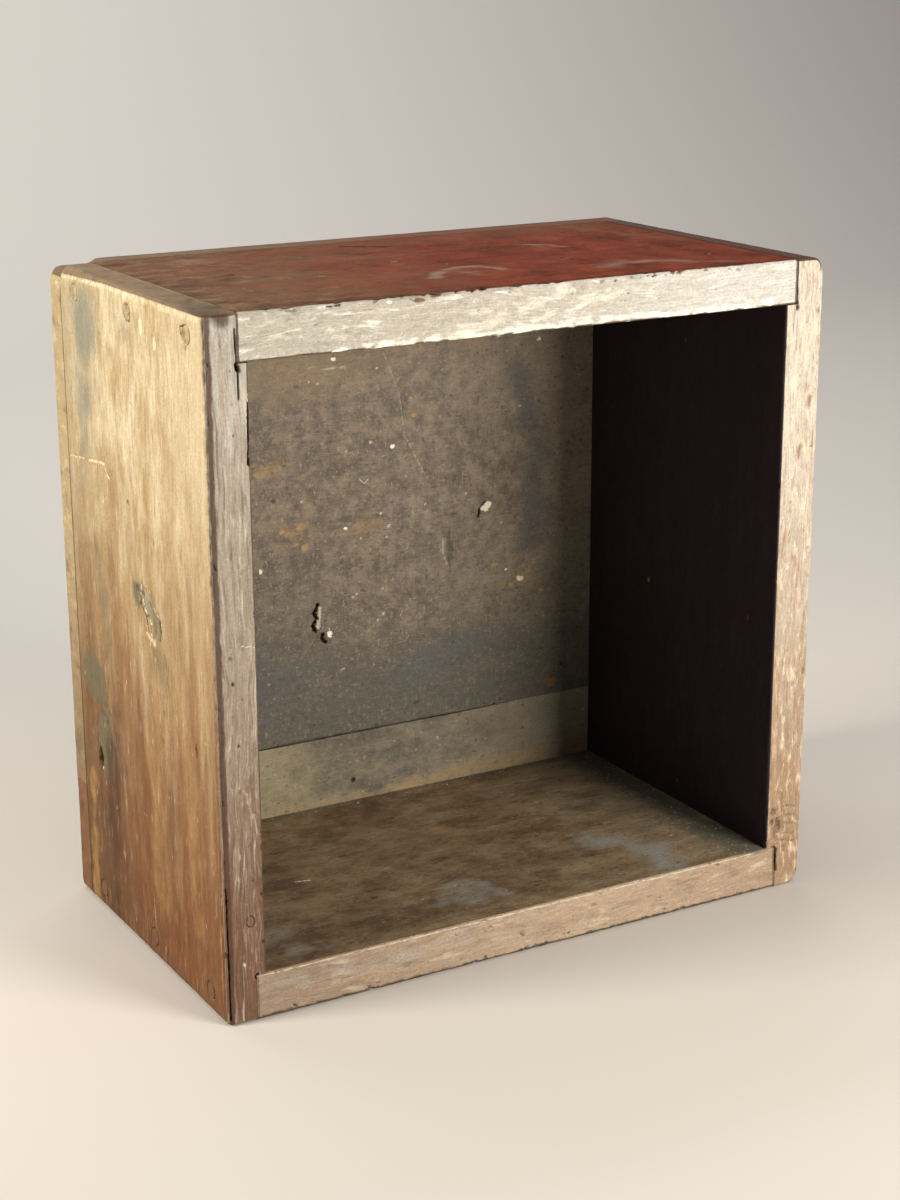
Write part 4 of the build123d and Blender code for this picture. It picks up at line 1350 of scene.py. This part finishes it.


# Finish of each board: its grain from dark to light, how much growth bands, streaks, fibres and mottle take
# part in it, the length and width of the streaks and of the mottle in millimetres, the layers of age and of
# painted light and shade, the colours that its marks show, the layers over them, and the flecks on top. Shine
# is the strength of its reflections, gloss its roughness, and grit how coarse its fibres are.
# A layer holds its mask, its colour, its noise along and across the grain in millimetres, how ragged the
# noise makes it, where it starts and is full, and its strength. A fleck row holds its mask, its colour, the
# length and width of its cells in millimetres, its size in a cell, the share of cells and its strength.
finishes = {
    "left_board": {
        "palette": [(0.0, "A68D6A"), (0.3, "B7A37E"), (0.62, "C6B797"), (1.0, "D6CAAE")],
        "figure": (0.12, 0.30, 0.12, 0.46),
        "streaks": (14, 4),
        "mottle": (30, 15),
        "shine": 0.2,
        "layers": [
            ("far", "A2967A", (60, 12), 0.9, (0.45, 1.15), 0.7),
            ("near", "CFBF9E", (80, 8), 0.6, (0.5, 1.1), 0.7),
            # Darker and more orange towards the bottom: partly the wood's own tone, partly painted reddish
            # bounce light
            ("start", "94703F", (110, 12), 0.7, (0.1, 0.65), 0.65),
            ("start", "704224", (60, 9), 0.85, (0.3, 0.95), 0.92),
            ("far start", "54402C", (50, 10), 0.8, (0.25, 0.9), 0.6),
            ("all", "9A9484", (26, 12), 1.7, (0.68, 1.05), 0.45),
            ("all", "7A6242", (18, 3), 1.8, (0.64, 1.0), 0.36),
            ("all", "E0D3B2", (16, 3), 1.8, (0.64, 1.0), 0.42),
            ("all", "4E3822", (10, 1.2), 1.9, (0.76, 1.0), 0.3),
            ("start", "3C2B1C", (20, 3), 1.6, (0.95, 1.4), 0.65),
            ("start", "A27A44", (22, 2.4), 1.6, (0.98, 1.38), 0.65),
            ("front", "93887B", (60, 4), 0.5, (0.3, 0.7), 0.97),
            ("front stop", "B0AEA6", (30, 4), 0.7, (0.7, 1.05), 0.8),
            # Darker towards the foot of the front edge: partly the wood's own tone, partly painted shade and
            # reddish bounce light
            ("front start", "603F29", (60, 4), 0.7, (0.3, 0.95), 0.9),
            ("front", "4C3E34", (60, 1.5), 1.6, (1.0, 1.34), 0.64),
            ("front", "C6BEB2", (40, 1.8), 1.6, (1.02, 1.36), 0.55),
            ("front", "C8C0B2", (12, 1.2), 1.8, (1.16, 1.5), 0.5),
            ("inside", "4A3E32", (60, 8), 0.5, (0.3, 0.8), 0.95),
            ("ends", "7C6850", (9, 9), 0.6, (0.3, 0.8), 0.96),
            ("ends near", "4E3C32", (12, 14), 1.0, (0.5, 1.1), 0.85),
            ("ends", "3A2C22", (12, 9), 1.6, (1.0, 1.4), 0.6),
            ("ends", "93805F", (10, 8), 1.6, (1.04, 1.45), 0.5),
        ],
        "tones": {"warm": "84623C", "slate": "8A8878", "knot": "6A634E", "rust": "4A362A", "ochre": "AA8450",
                  "pale": "E9DDBC", "grime_and_shade": "3C2A1C"},
        "flecks": [
            ("outside", "5A4430", (16, 2), 0.26, 0.30, 0.4),
            ("outside", "E4D8B8", (10, 2.4), 0.20, 0.20, 0.4),
        ],
    },
    "right_board": {
        "palette": [(0.0, "7E6446"), (0.35, "9A7E5A"), (0.65, "B29672"), (1.0, "C9B28C")],
        "figure": (0.34, 0.20, 0.16, 0.30),
        "layers": [
            # Darker towards the foot: partly the wood's own tone, partly painted shade and reddish bounce
            # light
            ("start", "7A583E", (90, 8), 0.7, (0.3, 0.9), 0.8),
            ("far", "8A7C66", (90, 8), 0.9, (0.5, 1.15), 0.6),
            ("all", "5A4228", (50, 4), 1.9, (0.66, 0.98), 0.5),
            ("front", "B8B1A4", (50, 4), 0.5, (0.3, 0.7), 0.97),
            # Darker towards the foot of the front edge: partly the wood's own tone, partly painted shade and
            # reddish bounce light
            ("front start", "84694F", (50, 5), 0.8, (0.1, 0.95), 0.9),
            ("front", "E6D8BC", (10, 3), 1.7, (1.0, 1.42), 0.65),
            ("front", "96724E", (9, 3), 1.7, (1.0, 1.4), 0.65),
            ("front", "7C5E42", (24, 1.5), 1.7, (1.02, 1.38), 0.7),
            ("front", "54402E", (9, 1.2), 1.8, (1.14, 1.46), 0.7),
            # Near-black inside face: partly the wood's own dark stain, partly painted shade where no lamp
            # reaches
            ("inside", "221824", (60, 4), 0.4, (0.3, 0.8), 0.98),
            ("inside", "3A303C", (30, 14), 1.6, (1.0, 1.5), 0.45),
            ("ends", "7A6A58", (9, 6), 0.6, (0.3, 0.8), 0.9),
            ("ends stop", "4E2E22", (9, 9), 0.5, (0.3, 0.8), 0.97),
        ],
        "tones": {"warm": "7A5E42", "slate": "8B8772", "ochre": "B08A4A", "pale": "ECE2C8",
                  "grime_and_shade": "43301F"},
        "flecks": [("outside", "5A4430", (14, 3), 0.26, 0.30, 0.4)],
    },
    "top_board": {
        # Reddish brown: partly the wood's own tone, partly a painted reflection of red cloth
        "palette": [(0.0, "5A2A1B"), (0.3, "6B3120"), (0.6, "763625"), (1.0, "81402C")],
        "figure": (0.11, 0.11, 0.06, 0.72),
        "streaks": (30, 9),
        "mottle": (20, 22),
        "shine": 0.1,
        "gloss": 0.8,
        "layers": [
            ("start", "6E5640", (36, 30), 0.6, (0.38, 1.05), 0.9),
            ("far", "6C4C38", (36, 26), 0.9, (0.6, 1.2), 0.7),
            ("start", "8C745A", (13, 9), 1.8, (0.88, 1.24), 0.6),
            ("start", "44332A", (15, 9), 1.8, (0.88, 1.24), 0.6),
            ("all", "3E241A", (26, 14), 1.9, (0.62, 0.92), 0.45),
            ("all", "8C5C44", (16, 9), 1.9, (0.64, 0.94), 0.4),
            ("all", "9A6C52", (5, 2.6), 1.9, (0.66, 0.94), 0.35),
            ("all", "3A231A", (7, 3), 1.9, (0.66, 0.94), 0.35),
            ("front", "ABA79C", (30, 4), 0.5, (0.35, 0.75), 0.97),
            ("front", "857C6A", (8, 3), 1.8, (1.03, 1.42), 0.5),
            ("front", "F0EEE6", (13, 2.6), 1.8, (1.05, 1.44), 0.65),
            ("front stop", "BEBEBA", (20, 5), 0.8, (0.4, 1.0), 0.6),
            ("front", "DCD8CC", (4, 3), 1.8, (1.1, 1.42), 0.5),
            ("front", "6E6252", (3, 2), 1.9, (1.2, 1.5), 0.5),
            ("inside", "5A4A3A", (60, 8), 0.5, (0.3, 0.8), 0.95),
            ("ends", "463A2E", (3, 3), 0.6, (0.3, 0.8), 0.9),
        ],
        "tones": {"slate": "8E786A", "rust": "8A5A34", "ochre": "784E38", "pale": "EDE9DC",
                  "grime_and_shade": "33241E"},
        "flecks": [("outside", "3A241A", (12, 5), 0.26, 0.30, 0.45)],
    },
    "bottom_board": {
        "palette": [(0.0, "5E4B35"), (0.3, "725B43"), (0.62, "816C52"), (1.0, "917B5F")],
        "figure": (0.10, 0.12, 0.08, 0.70),
        "streaks": (40, 8),
        "mottle": (26, 18),
        "layers": [
            ("stop", "968C72", (70, 14), 0.9, (0.55, 1.2), 0.75),
            ("all", "463524", (34, 14), 1.9, (0.60, 0.90), 0.5),
            ("all", "8E8066", (22, 9), 1.9, (0.62, 0.92), 0.42),
            ("all", "33281D", (9, 4), 1.9, (0.64, 0.92), 0.45),
            ("all", "A08F72", (6, 3.2), 1.9, (0.66, 0.94), 0.42),
            ("front", "A08D77", (30, 4), 0.5, (0.35, 0.75), 0.97),
            ("front stop", "87725D", (40, 5), 0.6, (0.6, 1.0), 0.5),
            ("front start", "806E5C", (40, 5), 0.8, (0.4, 1.0), 0.8),
            ("front", "C8B9A2", (14, 4), 1.6, (1.02, 1.42), 0.5),
            ("front", "6A5746", (20, 4), 1.6, (1.0, 1.4), 0.55),
            ("front", "54463A", (10, 1.4), 1.7, (1.14, 1.5), 0.5),
            ("ends", "5A4C3C", (3, 3), 0.6, (0.3, 0.8), 0.8),
        ],
        "tones": {"warm": "5F5D4E", "slate": "908F88", "ochre": "A8743A", "pale": "DCCDB2",
                  "grime_and_shade": "33281D"},
        "over": [
            ("inside", "2A2018", (3.6, 2.2), 1.9, (1.10, 1.40), 0.45),
            ("inside", "A39479", (2.8, 1.8), 1.9, (1.12, 1.42), 0.4),
        ],
        "flecks": [
            ("inside", "A89C84", (7, 5), 0.18, 0.30, 0.5),
            ("warm", "D0C9B0", (2.6, 2.2), 0.34, 0.5, 1.0),
            ("inside", "2E241A", (9, 5), 0.24, 0.25, 0.4),
        ],
    },
    "back_wide_board": {
        "palette": [(0.0, "4C4238"), (0.32, "5B5145"), (0.62, "675C4F"), (1.0, "766A5B")],
        "figure": (0.04, 0.04, 0.12, 0.80),
        "mottle": (8, 9),
        "grit": 0.5,
        "layers": [
            # Painted light: lighter towards the right end of the inside face, against the shade that the
            # right board casts there
            ("inside stop", "8E8271", (70, 60), 0.7, (0.5, 1.15), 0.8),
            ("inside near", "47453D", (70, 50), 0.9, (0.50, 1.10), 0.66),
            ("inside far", "453B31", (60, 50), 0.6, (0.7, 1.25), 0.4),
            ("all", "766650", (12, 11), 1.8, (0.70, 1.05), 0.3),
            ("inside", "2E261F", (3.0, 2.4), 1.9, (1.10, 1.46), 0.7),
            ("inside", "95896F", (1.8, 3.4), 1.9, (1.10, 1.46), 0.7),
            ("inside", "8C7F68", (4.6, 1.6), 1.9, (1.12, 1.46), 0.7),
            ("inside near", "45453E", (60, 40), 0.8, (0.62, 1.15), 0.6),
            ("outside", "6B5137", (90, 12), 0.6, (0.3, 0.8), 0.97),
            ("outside", "46311F", (190, 5), 1.6, (0.96, 1.36), 0.65),
            ("outside", "8A7150", (150, 4), 1.6, (0.98, 1.4), 0.5),
            ("outside", "5C5348", (40, 26), 1.7, (1.02, 1.45), 0.5),
            ("ends", "B09D78", (7, 5), 0.5, (0.3, 0.8), 0.92),
            ("ends", "D2C49C", (3, 9), 1.7, (1.0, 1.36), 0.7),
            ("ends near", "7A6044", (8, 8), 0.5, (0.4, 1.0), 0.8),
            ("ends", "6A5640", (2.4, 10), 1.7, (1.02, 1.36), 0.65),
            ("rear", "6A3E2C", (40, 6), 0.6, (0.3, 0.8), 0.95),
            ("rear start", "6E5C42", (40, 6), 0.9, (0.3, 0.9), 0.9),
            ("rear", "3C2A20", (20, 4), 1.6, (1.0, 1.4), 0.5),
        ],
        "tones": {"warm": "7B6850", "slate": "46494A", "rust": "8C5E2E", "ochre": "96794A", "pale": "A89F8C",
                  "bare": "DDD5C2", "grime_and_shade": "1E1813"},
        "over": [
            ("inside", "2E261F", (3.4, 2.6), 1.9, (1.12, 1.5), 0.3),
            ("inside", "9C907C", (1.5, 4.6), 1.9, (1.14, 1.5), 0.24),
            ("inside", "8E8270", (4.2, 1.7), 1.9, (1.14, 1.5), 0.22),
        ],
        "flecks": [
            ("inside", "8E8370", (3.4, 3.2), 0.28, 0.45, 0.36),
            ("inside", "2A221B", (4, 3.8), 0.30, 0.35, 0.45),
            ("inside", "ACA28E", (15, 14), 0.05, 0.40, 0.6),
        ],
    },
    "back_narrow_board": {
        "palette": [(0.0, "464138"), (0.32, "534D43"), (0.62, "5E584C"), (1.0, "6C6354")],
        "figure": (0.06, 0.06, 0.12, 0.76),
        "mottle": (9, 9),
        "grit": 0.5,
        "layers": [
            ("inside start", "9C926F", (60, 30), 0.5, (0.45, 0.95), 0.85),
            # Lighter towards the right end of the inside face: partly dust, partly painted light in the right
            # board's shade
            ("inside stop", "8A826E", (60, 30), 0.5, (0.5, 1.0), 0.9),
            ("outside", "6B4F33", (90, 10), 0.6, (0.3, 0.8), 0.97),
            ("outside", "432E1D", (190, 4), 1.6, (0.96, 1.36), 0.65),
            ("outside", "8A6E4A", (150, 4), 1.6, (0.98, 1.4), 0.5),
            ("ends", "785232", (7, 5), 0.5, (0.3, 0.8), 0.92),
            ("ends", "93693C", (3, 9), 1.7, (1.0, 1.36), 0.6),
            ("ends", "463020", (2.4, 10), 1.7, (1.02, 1.36), 0.6),
        ],
        "tones": {"warm": "857C5E", "ochre": "8E7A56", "pale": "A89F8C", "grime_and_shade": "1E1813"},
        "over": [
            ("inside", "2E261F", (3.4, 2.6), 1.9, (1.12, 1.5), 0.4),
            ("inside", "948A74", (2.0, 3.4), 1.9, (1.14, 1.5), 0.4),
        ],
        "flecks": [
            ("inside", "968C7A", (4, 3.4), 0.28, 0.40, 0.45),
            ("inside", "2A221B", (5, 3.8), 0.30, 0.30, 0.45),
        ],
    },
}

material_names = {
    "left_board": "aged_pine_worn_pale",
    # Right board: dark inside, partly its own stain and partly painted shade
    "right_board": "aged_pine_dark_inside_painted_shade",
    # Top: reddish, partly its own tone and partly a painted reflection
    "top_board": "aged_pine_reddish_top_painted_reflection",
    "bottom_board": "aged_pine_stained_floor",
    "back_wide_board": "aged_pine_grey_back",
    "back_narrow_board": "aged_pine_olive_back",
}

for name, spec in board_specs.items():
    wood = aged_wood(material_names[name], name, finishes[name], spec["seed"])
    build_board(name, spec, board_marks[name], wood)

iron = rusted_iron("forged_iron_rusted")
tree = nail_tree()
side_nail_length = 48.0
back_nail_length = 40.0
nail_rows = {}
for side, way in (("left", -1), ("right", 1)):
    for end, height in (("top", top_nails), ("bottom", bottom_nails)):
        places = [(way * half_width, depth - half_depth, height) for depth in side_nail_depths]
        nail_rows[f"{side}_{end}_nails"] = (places, (way, 0, 0), side_nail_length)
for part, middle_height, end_heights in (
    ("wide", top_nails, wide_back_heights),
    ("narrow", bottom_nails, (narrow_back_height,)),
):
    places = [(x, half_depth, middle_height) for x in back_nail_columns]
    places += [(x, half_depth, z) for x in back_end_columns for z in end_heights]
    nail_rows[f"{part}_back_nails"] = (places, (0, 1, 0), back_nail_length)
for seed, (name, (places, outward, length)) in enumerate(nail_rows.items()):
    drive_nails(name, tree, places, outward, length, iron, seed)


# Studio: pale floor that sweeps up behind, and soft light

def sweep_floor():
    """Floor and backdrop in one pale sheet, curved where they meet."""
    bend_start = 1.4
    bend = 1.0
    profile = [(-4.0, 0.0), (bend_start, 0.0)]
    for step in range(1, 13):
        turn = math.radians(90 * step / 12)
        profile.append((bend_start + bend * math.sin(turn), bend - bend * math.cos(turn)))
    profile.append((bend_start + bend, 4.0))
    points = [(x, y, z) for y, z in profile for x in (-5.0, 5.0)]
    quads = [(2 * i, 2 * i + 1, 2 * i + 3, 2 * i + 2) for i in range(len(profile) - 1)]
    mesh = bpy.data.meshes.new("studio_floor")
    mesh.from_pydata(points, [], quads)
    mesh.polygons.foreach_set("use_smooth", np.ones(len(mesh.polygons), bool))
    material = bpy.data.materials.new("pale_floor")
    material.use_nodes = True
    shader = material.node_tree.nodes["Principled BSDF"]
    shader.inputs["Base Color"].default_value = linear("C2BEB8")
    shader.inputs["Roughness"].default_value = 0.9
    mesh.materials.append(material)
    floor = linked("studio_floor", mesh)


def area_light(name, place, aim, power, size, code, spread=180):
    """Soft light of a width and height that the camera doesn't see."""
    lamp = bpy.data.lights.new(name, "AREA")
    lamp.shape = "RECTANGLE"
    lamp.size, lamp.size_y = size
    lamp.spread = math.radians(spread)
    lamp.energy = power
    lamp.color = linear(code)[:3]
    made = linked(name, lamp)
    made.location = place
    made.rotation_mode = "QUATERNION"
    made.rotation_quaternion = (Vector(aim) - Vector(place)).to_track_quat("-Z", "Y")
    made.visible_camera = False


sweep_floor()
area_light("key", (0.54, -1.2, 0.45), (0.0, 0.0, 0.18), 26.0, (0.6, 0.22), "FFF6EA")
area_light("side", (-1.05, 0.08, 0.80), (-0.16, -0.02, 0.22), 6.0, (0.35, 0.35), "FFF4E4", 110)
area_light("fill", (-0.3, -0.5, 2.2), (0.0, 0.0, 0.1), 8.0, (1.4, 1.4), "FFFFFF")
area_light("backdrop", (0.0, 0.9, 1.9), (0.3, 2.3, 0.6), 40.0, (1.6, 0.6), "FFFFFF")

world = bpy.data.worlds.new("studio")
world.use_nodes = True
world.node_tree.nodes["Background"].inputs["Color"].default_value = linear("F2F0EC")
world.node_tree.nodes["Background"].inputs["Strength"].default_value = 0.15
bpy.context.scene.world = world
bpy.context.scene.view_settings.view_transform = "Standard"
